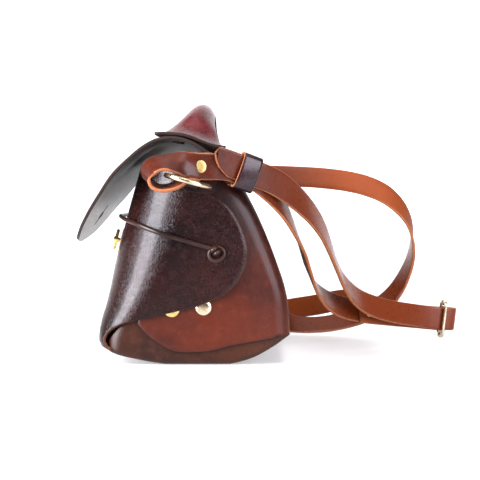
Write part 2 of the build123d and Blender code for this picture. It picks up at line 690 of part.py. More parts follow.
def strap_rivet(sign):
    """Rivet through both layers of a ring fold."""
    outer = RING_FOLD[-1][0][1] - STRAP_LEATHER / 2
    inner = RING_FOLD[2][0][1] + STRAP_LEATHER / 2
    seat = Plane((STRAP_RIVET[0], sign * -outer, STRAP_RIVET[1]), (1, 0, 0), (0, sign, 0))
    with BuildPart() as rivet:
        with BuildSketch(seat):
            Circle(STRAP_RIVET_RADIUS)
        extrude(amount=1.3)
        with BuildSketch(seat):
            Circle(1.5)
        extrude(amount=outer - inner)
        with BuildSketch(seat.offset(outer - inner)):
            Circle(STRAP_RIVET_RADIUS - 1)
        extrude(amount=-1)
    return rivet.part


with BuildPart() as strap_rivet_near:
    add(strap_rivet(-1))
strap_rivet_near.part.label = "strap_rivet_near"

with BuildPart() as strap_rivet_far:
    add(strap_rivet(1))
strap_rivet_far.part.label = "strap_rivet_far"

SLIDER_RIVET_SEAT = Plane(SLIDER_RIVET, (0, 0, 1), (0.6, -0.8, 0)).offset(STRAP_LEATHER / 2 + 0.1)
SLIDER_RIVET_GRIP = 2 * STRAP_LEATHER + 0.7
with BuildPart() as slider_rivet:
    with BuildSketch(SLIDER_RIVET_SEAT):
        Circle(4)
    extrude(amount=1.2)
    with BuildSketch(SLIDER_RIVET_SEAT):
        Circle(1.4)
    extrude(amount=-SLIDER_RIVET_GRIP)
    with BuildSketch(SLIDER_RIVET_SEAT.offset(-SLIDER_RIVET_GRIP)):
        Circle(3.5)
    extrude(amount=-1)
slider_rivet.part.label = "slider_rivet"

# ---------------------------------------------------------------- keeper
KEEPER_PLANE = Plane(KEEPER_CENTRE, KEEPER_UP, KEEPER_ALONG)
with BuildPart() as strap_keeper:
    with BuildSketch(KEEPER_PLANE):
        RectangleRounded(KEEPER_HOLE[0] + 2 * KEEPER_LEATHER, KEEPER_HOLE[1] + 2 * KEEPER_LEATHER, 2.8)
        RectangleRounded(KEEPER_HOLE[0], KEEPER_HOLE[1], 0.8, mode=Mode.SUBTRACT)
    extrude(amount=KEEPER_LENGTH / 2, both=True)
strap_keeper.part.label = "strap_keeper"

# ---------------------------------------------------------------- slider
SLIDER_PLANE = Plane(SLIDER_CENTRE, (0, 1, 0), Vector(0, 1, 0).cross(Vector(*SLIDER_LEAN)))
with BuildPart() as slider_frame:
    with BuildSketch(SLIDER_PLANE.offset(-SLIDER_WIRE)):
        RectangleRounded(2 * (SLIDER_HALF_WIDTH + SLIDER_WIRE), 2 * (SLIDER_HALF_HEIGHT + SLIDER_WIRE), 3.5)
        RectangleRounded(2 * (SLIDER_HALF_WIDTH - SLIDER_WIRE), 2 * (SLIDER_HALF_HEIGHT - SLIDER_WIRE), 1.2,
                         mode=Mode.SUBTRACT)
    extrude(amount=2 * SLIDER_WIRE)
    fillet(slider_frame.faces().filter_by(SLIDER_PLANE).edges(), radius=0.9)
slider_frame.part.label = "slider_frame"

with BuildPart() as slider_bar:
    with Locations(Plane(SLIDER_CENTRE, (0, 1, 0), SLIDER_LEAN)):
        Cylinder(SLIDER_WIRE, 2 * (SLIDER_HALF_HEIGHT - SLIDER_WIRE))
slider_bar.part.label = "slider_bar"

# ---------------------------------------------------------------- files
PIECES = [
    front_panel_pocketed, back_panel, bottom_panel, flap, handle, handle_rivet_caps, handle_rivet_backs,
    side_rivet_caps, side_rivet_backs, ring_near, ring_far, ring_tab_near, ring_tab_far, ring_tab_rivets,
    turnlock_base, turnlock_backplate, turnlock_post, turnlock_toggle, lace, lace_knot_near, lace_knot_far,
    strap_short_fold, strap_short_run, strap_long_upper, strap_long_slider, strap_long_ground,
    strap_long_arch,
    strap_long_fold, strap_rivet_near, strap_rivet_far, slider_rivet, strap_keeper, slider_frame, slider_bar,
]
for piece in PIECES:
    export_step(piece.part, "parts/" + piece.part.label + ".step")

LACE_LENGTH = lace_line.wires()[0].length
print("lace radii", [round(radius, 1) for radius in LACE_RADII], "length", round(LACE_LENGTH, 1))
print("lace volume", lace.part.volume, "section times length",
    math.pi * (LACE_DIAMETER / 2) ** 2 * LACE_LENGTH)
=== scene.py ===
"""Small leather shoulder bag, seen from its end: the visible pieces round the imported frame.

Shapes are written in millimetres and made in metres. +X points to the back of the bag, Y runs along its
length and +Z is up.
"""
import bpy
import bmesh
import math
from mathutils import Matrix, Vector, noise


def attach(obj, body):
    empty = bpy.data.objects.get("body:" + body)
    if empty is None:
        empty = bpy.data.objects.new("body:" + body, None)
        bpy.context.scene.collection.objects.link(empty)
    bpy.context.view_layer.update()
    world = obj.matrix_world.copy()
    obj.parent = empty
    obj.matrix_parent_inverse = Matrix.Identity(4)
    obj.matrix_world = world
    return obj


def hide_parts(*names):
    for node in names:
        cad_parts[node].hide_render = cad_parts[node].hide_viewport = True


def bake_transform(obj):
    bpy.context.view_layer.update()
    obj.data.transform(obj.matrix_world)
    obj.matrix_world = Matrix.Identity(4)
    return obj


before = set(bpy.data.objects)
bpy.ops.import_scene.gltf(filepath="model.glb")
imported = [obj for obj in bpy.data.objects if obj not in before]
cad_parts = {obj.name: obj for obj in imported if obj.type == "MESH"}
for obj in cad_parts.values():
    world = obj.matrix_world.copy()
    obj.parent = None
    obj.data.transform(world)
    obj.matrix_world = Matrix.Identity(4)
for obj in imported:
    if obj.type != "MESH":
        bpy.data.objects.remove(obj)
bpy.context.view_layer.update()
MM = 0.001

# ---------------------------------------------------------------- shapes, close to the CAD model
END = 115.0
LEATHER = 2.4
LAYER = 2.5
BACK_BEND = 16.0
# Height, front in the middle, front beside the corner, back, front corner radius
BODY_LEVELS = [
    (-2.0, -79.0, -76.0, 72.0, 16.0),
    (22.0, -81.0, -78.5, 72.0, 22.0),
    (50.0, -77.5, -73.0, 70.5, 36.0),
    (85.0, -71.5, -66.0, 60.0, 46.0),
    (118.0, -63.0, -57.8, 46.0, 50.0),
    (140.0, -56.5, -51.5, 34.5, 50.0),
    (158.0, -51.0, -46.5, 26.0, 50.0),
]
# Height and front or back of the boat-shaped underside
KEEL_FRONT = [(0, -25), (1.5, -36), (6, -59), (8.8, -68), (13.5, -76.5), (22, -81.5), (36, -84)]
KEEL = [(-84, 36), (-81.5, 22), (-76.5, 13.5), (-68, 8.8), (-59, 6), (-36, 1.5), (-25, 0), (0, 0), (25, 0),
        (33, 1.6), (44.5, 5.2), (56.6, 11.8), (66, 18.2), (71.6, 22.8)]
# Free edge of the front sheet, from its top down the wing and round the open curl to the butt joint
FRONT_EDGE = [(-20, 153), (-4, 150), (4.5, 143), (7, 135), (21, 125), (29, 115), (35, 103), (38, 92),
              (37, 79),
              (31, 66), (20, 55), (8, 49), (-7, 44), (-28, 39), (-47, 35), (-61, 31.2), (-68, 27.6),
              (-72.6, 22.6), (-73.8, 17.6), (-71.6, 13.4), (-67.4, 10.4)]
BACK_LOW = [(-46, 32), (-39, 24), (-28, 16), (-18, 11), (-7, 10.4), (9, 11), (25, 15), (47, 19), (71, 23)]
BACK_HIGH = [(-46, 40), (-38, 60), (-30, 100), (-26, 130), (-18, 146), (-4, 148), (17, 146), (29, 139.5),
             (80, 139.5)]
BOTTOM_HIGH = [(-72, 13), (-69, 19), (-65, 25), (-60, 31), (-55, 36), (-45, 44), (-20, 56), (20, 52),
               (45, 38),
               (60, 27), (66, 24.6), (71.6, 24.4)]
FLAP_LEATHER = 2.6
FLAP_PROFILE = [(34.7, 139.7), (33.5, 142.5), (24, 152.5), (12.6, 162.5), (0, 171.6), (-8.5, 175.4),
                (-20, 177), (-32, 175), (-43, 169.4), (-54, 160.5), (-66.8, 147.7), (-77.3, 133.6),
                (-87.9, 119.7), (-97.5, 106), (-107, 93.6)]
FLAP_ROUNDING = 88.0
SLOT_CENTRE = (-90.2, 116.5)
HANDLE_SECTIONS = [
    (108, [(-33, 178), (-22, 178.2), (-9, 176.6), (4, 171.6), (13, 168.6), (21.6, 167.4)]),
    (86, [(-30, 178), (-21, 178.2), (-9, 176.9), (3, 172.6), (11, 169.8), (18, 169)]),
    (70, [(-24, 182), (-17, 183.4), (-8, 182.6), (2, 179), (9, 176.4), (15, 174.6)]),
    (48, [(-14, 192.4), (-9.5, 194.8), (-4, 195.6), (2, 193.6), (7, 190.2), (10.8, 186.6)]),
    (24, [(-7, 202), (-4, 204.2), (0, 205.2), (4, 203.8), (7.4, 200.8), (9.8, 197)]),
    (0, [(-5, 204.8), (-2.4, 207.2), (0.8, 208.4), (4.2, 207.4), (7.2, 204.4), (9.4, 200.6)]),
]
HANDLE_LEATHER = 2.6
SIDE_RIVETS = [(4.7, 45.0), (-20.0, 43.6)]
RING_CENTRE = (-6.0, 136.5, 142.0)
RING_RADIUS = 17.0
RING_WIRE = 2.0
RING_SLOPE = math.radians(15.6)
RING_NORMAL = Vector((math.sin(RING_SLOPE), 0, math.cos(RING_SLOPE)))
RING_LEVEL = Vector((math.cos(RING_SLOPE), 0, -math.sin(RING_SLOPE)))
LACE_HALF = [(11, -117.3, 90.6), (-4, -117.7, 95), (-18, -117.8, 99.2), (-32, -116.4, 103.6),
             (-48.2, -105.2, 109.6), (-58.8, -87, 113), (-64, -64, 114.6), (-66.6, -40, 115.1),
             (-67.6, -14, 115)]
LACE_DIAMETER = 3.5
KNOT_CENTRE = (15.0, 116.8, 86.4)
RING_FOLD = [
    ((12, -128.0, 154), (0.05, 0, 1)), ((9, -128.95, 153.8), (0, 0, 1)), ((2.3, -129.8, 153.3), (0, 0, 1)),
    ((-3, -131.4, 150.8), (-0.05, 0.3, 0.95)), ((-8, -134.4, 146.4), (-0.1, 0.72, 0.68)),
    ((-12.6, -136.2, 141), (-0.12, 0.93, 0.34)), ((-20.5, -136.4, 137.4), (-0.15, 0.96, 0.2)),
    ((-28, -136.4, 137.2), (-0.2, 0.95, 0.25)), ((-33.6, -136.8, 140.2), (-0.3, 0.87, 0.4)),
    ((-36.6, -137.2, 145.4), (-0.38, 0.8, 0.47)), ((-35.4, -137.6, 150.8), (-0.4, 0.76, 0.51)),
    ((-30.4, -138, 154.6), (-0.35, 0.78, 0.52)), ((-23, -137.8, 156), (-0.25, 0.8, 0.55)),
    ((-14, -136.6, 155.6), (-0.15, 0.55, 0.82)), ((-6, -134.4, 154.4), (-0.05, 0.22, 0.97)),
    ((2.3, -132.8, 153.3), (0, 0, 1)),
]
SLIDER_LEAN = (0.115, 0, 0.993)
SHORT_RUN = [
    ((9, -132, 153.1), (0.14, 0, 1)), ((16, -130.9, 153.2), (0.26, 0, 0.96)),
    ((23, -128.9, 152.8), (0.32, 0, 0.94)), ((31, -126.5, 150.7), (0.34, 0, 0.94)),
    ((39, -123.9, 147.5), (0.35, 0, 0.94)), ((47, -120.9, 143.8), (0.35, 0.03, 0.94)),
    ((57, -110.8, 134.6), (0.3, 0.42, 0.85)), ((67, -97, 121.5), (0.15, 0.8, 0.58)),
    ((76, -82, 105.5), (0.05, 0.95, 0.3)), ((83.5, -67, 88.5), (-0.1, 0.98, 0.17)),
    ((90, -52, 69.5), (-0.12, 0.97, 0.2)), ((96.5, -38, 54.5), (-0.05, 0.93, 0.35)),
    ((106, -24, 44), (0.05, 0.78, 0.62)), ((119, -10, 36.5), (0.1, 0.5, 0.86)),
    ((136, 6.2, 31), (0.08, 0.36, 0.93)), ((156, 21, 27), (0.04, 0.28, 0.96)),
    ((176, 33, 24), (0.02, 0.2, 0.98)), ((196, 42.2, 21.5), (0.06, 0.1, 0.99)),
    ((208, 45.9, 20.2), SLIDER_LEAN), ((217, 47.1, 19.4), SLIDER_LEAN), ((219.6, 46.2, 19.3), SLIDER_LEAN),
    ((220.7, 44, 19.2), SLIDER_LEAN), ((219.6, 41.8, 19.3), SLIDER_LEAN), ((217, 40.9, 19.4), SLIDER_LEAN),
    ((208, 41.2, 20.2), SLIDER_LEAN), ((197.4, 39.2, 21.5), (0.06, 0.1, 0.99)),
    ((177.6, 30.3, 24), (0.02, 0.2, 0.98)), ((157.8, 18.4, 27), (0.04, 0.28, 0.96)),
    ((144.3, 8.2, 29.3), (0.07, 0.33, 0.94)), ((138.1, 3.3, 30.6), (0.08, 0.36, 0.93)),
]
LONG_RUN = [
    ((13, -139.2, 159.2), (0.3, 0, 0.95)), ((18.4, -136.5, 157.6), (0.32, 0, 0.95)),
    ((23.4, -133.8, 156), (0.33, 0, 0.94)),
    ((31, -129.9, 153.4), (0.34, 0, 0.94)), ((39, -127.3, 150.2), (0.35, 0, 0.94)),
    ((47, -124.6, 147.1), (0.35, 0.02, 0.94)), ((58, -117.5, 142.7), (0.36, 0.12, 0.92)),
    ((70, -106, 135.4), (0.36, 0.3, 0.88)), ((82, -92, 125.5), (0.33, 0.55, 0.76)),
    ((92.5, -78, 114.5), (0.28, 0.75, 0.6)), ((101, -65, 102), (0.22, 0.88, 0.42)),
    ((107.5, -53, 88), (0.15, 0.95, 0.27)), ((113, -43, 74.5), (0.06, 0.95, 0.3)),
    ((119.5, -33, 61), (0.02, 0.86, 0.5)), ((128, -22, 49.5), (0.02, 0.68, 0.73)),
    ((139, -10, 40.5), (0.02, 0.5, 0.86)), ((153, 1, 34), (0.02, 0.35, 0.93)),
    ((170, 13, 29), (0.01, 0.25, 0.97)), ((189, 25.5, 25), (0.05, 0.18, 0.98)),
    ((206, 34.4, 22), SLIDER_LEAN), ((217, 37.5, 20.4), SLIDER_LEAN), ((223, 38.9, 20), SLIDER_LEAN),
    ((226.6, 41, 19.9), SLIDER_LEAN), ((227.8, 44.2, 19.9), SLIDER_LEAN), ((226.4, 47.6, 19.9), SLIDER_LEAN),
    ((222.6, 49.9, 20), SLIDER_LEAN), ((217, 50.8, 20.2), SLIDER_LEAN), ((206, 54.4, 20.8), (0.06, -0.02, 1)),
    ((192, 62, 21.8), (0, -0.04, 1)), ((176, 73.5, 23.4), (0, -0.06, 1)), ((160, 86.5, 27), (0, -0.05, 1)),
    ((146, 98.5, 30.4), (0, 0, 1)), ((134, 108.5, 31.4), (0, 0.02, 1)), ((121, 118.5, 28.6), (0, 0, 1)),
    ((107, 129, 24.6), (0, 0, 1)), ((92, 138.5, 21.4), (0, 0, 1)), ((76, 146, 18), (0, 0, 1)),
    ((58, 150.4, 14.6), (0, 0, 1)), ((42, 149.6, 12.2), (0, 0, 1)), ((31.5, 143, 11.2), (0, 0, 1)),
    ((30, 133.6, 11), (0, 0, 1)), ((38, 126.4, 11), (-0.03, -0.03, 1)), ((51, 122.6, 11), (0.02, 0.12, 0.99)),
    ((64, 117.6, 10.6), (0.14, 0.32, 0.93)), ((75.5, 110.4, 9.6), (0.3, 0.52, 0.8)),
    ((87, 104, 8.4), (0.24, 0.68, 0.69)), ((101, 101.4, 8), (0.05, 0.76, 0.65)),
    ((117, 102.6, 9), (-0.08, 0.76, 0.65)), ((132, 105.6, 11.6), (-0.18, 0.72, 0.67)),
    ((146, 108.2, 15.2), (-0.28, 0.68, 0.68)), ((160, 110, 20.6), (-0.38, 0.66, 0.66)),
    ((172, 111.4, 28), (-0.42, 0.7, 0.6)), ((183, 112.8, 39), (-0.38, 0.8, 0.48)),
    ((192, 114.4, 54), (-0.28, 0.9, 0.34)), ((198.6, 116.2, 71), (-0.15, 0.97, 0.2)),
    ((200.6, 118, 90), (0.08, 0.98, 0.2)), ((197, 120, 107.5), (0.28, 0.9, 0.36)),
    ((187.5, 122.2, 122.6), (0.36, 0.7, 0.62)), ((174, 124.4, 134.2), (0.3, 0.46, 0.84)),
    ((157, 126.2, 141.8), (0.18, 0.25, 0.95)), ((137, 127.6, 146.6), (0.08, 0.1, 0.99)),
    ((114, 128.8, 149.5), (0, 0.03, 1)), ((90, 129.8, 151), (0, 0, 1)), ((64, 130.8, 152), (0, 0, 1)),
    ((40, 131.6, 152.7), (0, 0, 1)), ((20, 132.3, 153.1), (0, 0, 1)),
]
STRAP_HALF = 10.0
STRAP_LEATHER = 2.6
KEEPER_CENTRE = Vector((38.2, -125.6, 148.9))
KEEPER_ALONG = Vector((0.9, 0.29, -0.33)).normalized()
KEEPER_UP = Vector((0.3, 0, 0.954)).normalized()
KEEPER_HOLE = (24.4, 7.6)
SLIDER_CENTRE = Vector((217.2, 44.0, 20.2))
SLIDER_HALF_WIDTH = 11.2
SLIDER_HALF_HEIGHT = 15.0
SLIDER_BAR_HALF = 13.4
SLIDER_WIRE = 1.5
LOCK_LEAN = math.radians(14.4)
LOCK_SEAT = Vector((-69.75, 0, 92.7))
LOCK_OUT = Vector((-math.cos(LOCK_LEAN), 0, math.sin(LOCK_LEAN)))
LOCK_DOWN = Vector((-math.sin(LOCK_LEAN), 0, -math.cos(LOCK_LEAN)))
ALONG_BAG = Vector((0, 1, 0))


# ---------------------------------------------------------------- curves
def smooth_curve(points, step, places=3):
    """Points about a step apart on a smooth curve, with steps measured over their first places."""
    points = [list(point) for point in points]
    gaps = [math.dist(a[:places], b[:places]) for a, b in zip(points, points[1:])]
    slopes = [[(q - p) / gap for p, q in zip(a, b)] for a, b, gap in zip(points, points[1:], gaps)]
    tangents = [slopes[0]]
    for index in range(1, len(slopes)):
        left, right = gaps[index - 1], gaps[index]
        tangents.append([(p * right + q * left) / (left + right) for p,
                         q in zip(slopes[index - 1], slopes[index])])
    tangents.append(slopes[-1])
    curve = []
    for index, gap in enumerate(gaps):
        count = max(1, round(gap / step))
        for turn in range(count):
            t = turn / count
            h = (2 * t ** 3 - 3 * t ** 2 + 1, t ** 3 - 2 * t ** 2 + t, 3 * t ** 2 - 2 * t ** 3,
                 t ** 3 - t ** 2)
            curve.append([h[0] * p + h[1] * m * gap + h[2] * q + h[3] * n * gap for p, m, q, n in
                          zip(points[index], tangents[index], points[index + 1], tangents[index + 1])])
    curve.append(points[-1])
    return curve


def reading(table, at):
    """The rest of a table's row at one value of its rising first column."""
    if at <= table[0][0]:
        return table[0][1:]
    for low, high in zip(table, table[1:]):
        if at <= high[0]:
            share = (at - low[0]) / (high[0] - low[0])
            return [p + (q - p) * share for p, q in zip(low[1:], high[1:])]
    return table[-1][1:]


def spaced(points, count):
    """The points of a line again, count of them, evenly spaced."""
    lengths = [0.0]
    for a, b in zip(points, points[1:]):
        lengths.append(lengths[-1] + math.dist(a, b))
    rows = [[length, *point] for length, point in zip(lengths, points)]
    return [reading(rows, lengths[-1] * index / (count - 1)) for index in range(count)]


LEVEL_TABLE = smooth_curve(BODY_LEVELS, 1.0, 1)
KEEL_FRONT_TABLE = smooth_curve(KEEL_FRONT, 0.5, 1)
KEEL_TABLE = smooth_curve(KEEL, 1.0, 2)


def waved(point):
    """A point of the body moved by the soft unevenness that all its layers share."""
    place = Vector(point)
    broad = noise.noise_vector(place / 47.0) * 0.55
    fine = noise.noise_vector(place / 13.0) * 0.13
    return place + broad + fine


# ---------------------------------------------------------------- mesh making
def face_outward(mesh):
    """Turns the faces of a closed mesh outward."""
    work = bmesh.new()
    work.from_mesh(mesh)
    bmesh.ops.recalc_face_normals(work, faces=work.faces)
    work.to_mesh(mesh)
    work.free()


def piece_from(name, points, faces, marks, materials, body):
    """A closed smooth mesh from millimetre points; marks gives each face's material number."""
    mesh = bpy.data.meshes.new(name)
    mesh.from_pydata([Vector(point) * MM for point in points], [], faces)
    for material in materials:
        mesh.materials.append(material)
    for polygon, mark in zip(mesh.polygons, marks):
        polygon.material_index = mark
        polygon.use_smooth = True
    face_outward(mesh)
    piece = bpy.data.objects.new(name, mesh)
    bpy.context.scene.collection.objects.link(piece)
    if body:
        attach(piece, body)
    return piece


def grid_normals(grid, wrap):
    rows, columns = len(grid), len(grid[0])
    normals = []
    for r in range(rows):
        line = []
        for c in range(columns):
            left = grid[r][c - 1] if c or wrap else grid[r][c]
            right = grid[r][(c + 1) % columns] if c < columns - 1 or wrap else grid[r][c]
            across = right - left
            up = grid[min(r + 1, rows - 1)][c] - grid[max(r - 1, 0)][c]
            line.append(across.cross(up).normalized())
        normals.append(line)
    return normals


def leather_sheet(name, grid, thickness, materials, body, core, wrap=False, bulge=0.45):
    """A sheet from a grid of points on its grain side, with its flesh side behind and a rounded cut edge.

    core is a point on the flesh side of the grid's middle. Materials are grain, flesh and edge.
    """
    rows, columns = len(grid), len(grid[0])
    normals = grid_normals(grid, wrap)
    middle_row, middle_column = rows // 2, 0 if wrap else columns // 2
    outward = grid[middle_row][middle_column] - Vector(core)
    out = 1 if normals[middle_row][middle_column].dot(outward) > 0 else -1
    points = []
    for r in range(rows):
        for c in range(columns):
            points.append(grid[r][c])
    for r in range(rows):
        for c in range(columns):
            points.append(grid[r][c] - normals[r][c] * out * thickness)
    size = rows * columns
    faces, marks = [], []
    for r in range(rows - 1):
        for c in range(columns if wrap else columns - 1):
            d = (c + 1) % columns
            quad = (r * columns + c, r * columns + d, (r + 1) * columns + d, (r + 1) * columns + c)
            faces.append(quad)
            marks.append(0)
            faces.append(tuple(size + corner for corner in quad[::-1]))
            marks.append(1)
    if wrap:
        loops = [[(0, c) for c in range(columns)], [(rows - 1, c) for c in range(columns)]]
    else:
        loops = [[(0, c) for c in range(columns)] + [(r, columns - 1) for r in range(1, rows)]
                 + [(rows - 1, c) for c in range(columns - 2, -1, -1)] + [(r, 0)
                                                                          for r in range(rows - 2, 0, -1)]]
    steps = 4
    for loop in loops:
        strings = []
        for r, c in loop:
            inner_row = min(max(r, 1), rows - 2)
            inner_column = c if wrap else min(max(c, 1), columns - 2)
            top, under = points[r * columns + c], points[size + r * columns + c]
            away = top - grid[inner_row][inner_column]
            away = (away - normals[r][c] * away.dot(normals[r][c])).normalized()
            string = [r * columns + c]
            for step in range(1, steps):
                angle = math.pi * step / steps
                string.append(len(points))
                points.append((top + under) / 2 + (top - under) / 2 * math.cos(angle)
                              + away * bulge * math.sin(angle))
            string.append(size + r * columns + c)
            strings.append(string)
        for a, b in zip(strings, strings[1:] + strings[:1]):
            for step in range(steps):
                faces.append((a[step], b[step], b[step + 1], a[step + 1]))
                marks.append(2)
    return piece_from(name, points, faces, marks, materials, body)


def swept(name, rings, materials, marks_round, body, closed=False, cap=0):
    """A skin over rings of points, each as long as the last; marks_round gives the materials round a ring."""
    count = len(rings[0])
    points = [point for ring in rings for point in ring]
    faces, marks = [], []
    for index in range(len(rings) if closed else len(rings) - 1):
        start, following = index * count, ((index + 1) % len(rings)) * count
        for k in range(count):
            n = (k + 1) % count
            faces.append((start + k, start + n, following + n, following + k))
            marks.append(marks_round[k])
    if not closed:
        faces.append(tuple(range(count)))
        faces.append(tuple(range(len(points) - count, len(points)))[::-1])
        marks += [cap, cap]
    return piece_from(name, points, faces, marks, materials, body)


def tube_rings(line, radius, closed=False, sides=14):
    """Rings of points round a line; radius is a number or a list with one for each point."""
    line = [Vector(point) for point in line]
    last = len(line) - 1
    rings = []
    side = None
    for index, place in enumerate(line):
        before = line[index - 1] if index or closed else line[index]
        after = line[(index + 1) % len(line)] if index < last or closed else line[index]
        along = (after - before).normalized()
        if side is None:
            side = along.orthogonal().normalized()
        side = (side - along * side.dot(along)).normalized()
        other = along.cross(side)
        reach = radius[index] if isinstance(radius, list) else radius
        rings.append([place + (side * math.cos(2 * math.pi * k / sides)
                               + other * math.sin(2 * math.pi * k / sides))
                      * reach for k in range(sides)])
    return rings


def tube(name, line, radius, material, body, closed=False, sides=14):
    return swept(name, tube_rings(line, radius, closed, sides), [material], [0] * sides, body, closed)


def turned(name, places, profile, material, body, sides=40):
    """A turned shape at each (foot, axis), from (radius, height) pairs with radius 0 at both ends."""
    points, faces = [], []
    for foot, axis in places:
        foot, axis = Vector(foot), Vector(axis).normalized()
        side = axis.orthogonal().normalized()
        other = axis.cross(side)
        start = len(points)
        points.append(foot + axis * profile[0][1])
        for radius, height in profile[1:-1]:
            for k in range(sides):
                angle = 2 * math.pi * k / sides
                points.append(foot + axis * height
                              + (side * math.cos(angle) + other * math.sin(angle)) * radius)
        points.append(foot + axis * profile[-1][1])
        rings = len(profile) - 2
        for k in range(sides):
            n = (k + 1) % sides
            faces.append((start, start + 1 + k, start + 1 + n))
            for ring in range(rings - 1):
                low, high = start + 1 + ring * sides, start + 1 + (ring + 1) * sides
                faces.append((low + k, low + n, high + n, high + k))
            top = start + 1 + (rings - 1) * sides
            faces.append((top + k, top + n, len(points) - 1))
    return piece_from(name, points, faces, [0] * len(faces), [material], body)


def rounded(corners, radius, steps=5):
    """A closed outline with its corners rounded off."""
    outline = []
    for index, corner in enumerate(corners):
        here = Vector(corner)
        before = (Vector(corners[index - 1]) - here).normalized() * radius + here
        after = (Vector(corners[(index + 1) % len(corners)]) - here).normalized() * radius + here
        for step in range(steps + 1):
            t = step / steps
            outline.append(before * (1 - t) ** 2 + here * 2 * t * (1 - t) + after * t ** 2)
    return outline


def rounded_box(half_wide, half_high, radius, steps):
    return rounded([(-half_wide, -half_high), (half_wide, -half_high), (half_wide, half_high),
                    (-half_wide, half_high)], radius, steps)


def band_outline(half_wide, half_high, radius, steps, count):
    """Evenly spaced points round a rounded box, for a band of leather."""
    box = rounded_box(half_wide, half_high, radius, steps)
    return spaced([tuple(point) for point in box + box[:1]], count + 1)[:-1]


def arc(x, y, wide, high, first, last, step):
    """Points along part of an ellipse, between two angles in degrees."""
    angles = [math.radians(angle) for angle in range(first, last + 1, step)]
    return [(x + wide * math.cos(angle), y + high * math.sin(angle)) for angle in angles]


def half_turn(points):
    return [(-x, -y) for x, y in points]


def plate(name, outline, origin, right, up, thickness, soft, materials, body):
    """A flat plate over an outline, soft round its edge; it rises from origin along right x up."""
    origin, right, up = Vector(origin), Vector(right).normalized(), Vector(up).normalized()
    rise = right.cross(up)
    middle = sum((Vector(point) for point in outline), Vector((0, 0))) / len(outline)
    count = len(outline)
    loops = []
    steps = 4
    levels = [(soft * (1 - math.sin(math.pi / 2 * k / steps)), soft * (1 - math.cos(math.pi / 2 * k / steps)))
              for k in range(steps + 1)]
    profile = levels + [(inset, thickness - height) for inset, height in levels[::-1]]
    for inset, height in profile:
        loop = []
        for index in range(count):
            here = Vector(outline[index])
            along = (Vector(outline[(index + 1) % count]) - Vector(outline[index - 1])).normalized()
            inward = Vector((-along.y, along.x))
            if inward.dot(middle - here) < 0:
                inward = -inward
            flat = here + inward * inset
            loop.append(origin + right * flat.x + up * flat.y + rise * height)
        loops.append(loop)
    edge = len(materials) - 1
    points = [point for loop in loops for point in loop]
    faces, marks = [], []
    for index in range(len(loops) - 1):
        for k in range(count):
            n = (k + 1) % count
            faces.append((index * count + k, index * count + n, (index + 1) * count + n,
                          (index + 1) * count + k))
            marks.append(edge)
    faces.append(tuple(range(count))[::-1])
    faces.append(tuple(range(len(points) - count, len(points))))
    marks += [0, 0]
    return piece_from(name, points, faces, marks, materials, body)


# ---------------------------------------------------------------- materials
def colour(shade):
    """Linear colour with full alpha from three values of 0 to 255."""
    linear = [(v / 255 / 12.92) if v <= 10 else ((v / 255 + 0.055) / 1.055) ** 2.4 for v in shade]
    return (*linear, 1.0)


class Finish:
    """A material and short ways to add and join its nodes."""

    def __init__(self, name):
        self.material = bpy.data.materials.new(name)
        self.material.use_nodes = True
        self.tree = self.material.node_tree
        self.shader = self.tree.nodes["Principled BSDF"]
        self.place = self.tree.nodes.new("ShaderNodeTexCoord").outputs["Object"]

    def add(self, kind, **values):
        node = self.tree.nodes.new(kind)
        for key, value in values.items():
            if key in node.inputs:
                node.inputs[key].default_value = value
            else:
                setattr(node, key, value)
        return node

    def join(self, source, target):
        self.tree.links.new(source, target)

    def noise(self, scale, detail=4.0, rough=0.55, stretch=None):
        node = self.add("ShaderNodeTexNoise", Scale=scale, Detail=detail, Roughness=rough)
        where = self.place
        if stretch:
            mapping = self.add("ShaderNodeMapping")
            mapping.inputs["Scale"].default_value = stretch
            self.join(self.place, mapping.inputs["Vector"])
            where = mapping.outputs["Vector"]
        self.join(where, node.inputs["Vector"])
        return node.outputs["Fac"]

    def cells(self, scale, feature="F1"):
        node = self.add("ShaderNodeTexVoronoi", feature=feature, Scale=scale)
        self.join(self.place, node.inputs["Vector"])
        return node.outputs["Distance"]

    def spread(self, source, low, high, to_low, to_high):
        node = self.add("ShaderNodeMapRange")
        for socket, value in zip(("From Min", "From Max", "To Min", "To Max"), (low, high, to_low, to_high)):
            node.inputs[socket].default_value = value
        self.join(source, node.inputs["Value"])
        return node.outputs["Result"]

    def mix(self, share, first, second):
        node = self.add("ShaderNodeMix", data_type="RGBA")
        for value, socket in ((first, node.inputs[6]), (second, node.inputs[7])):
            if isinstance(value, tuple):
                socket.default_value = colour(value)
            else:
                self.join(value, socket)
        if isinstance(share, float):
            node.inputs[0].default_value = share
        else:
            self.join(share, node.inputs[0])
        return node.outputs[2]

    def math(self, operation, first, second):
        node = self.add("ShaderNodeMath", operation=operation)
        for value, socket in ((first, node.inputs[0]), (second, node.inputs[1])):
            if isinstance(value, float):
                socket.default_value = value
            else:
                self.join(value, socket)
        return node.outputs[0]

    def along(self, axis, low, high):
        """0 to 1 over a stretch of X, Y or Z, given in millimetres."""
        split = self.add("ShaderNodeSeparateXYZ")
        self.join(self.place, split.inputs[0])
        return self.spread(split.outputs[axis], low * MM, high * MM, 0.0, 1.0)

    def bump(self, height, distance_mm, strength=1.0):
        node = self.add("ShaderNodeBump", Strength=strength, Distance=distance_mm * MM)
        self.join(height, node.inputs["Height"])
        self.join(node.outputs["Normal"], self.shader.inputs["Normal"])


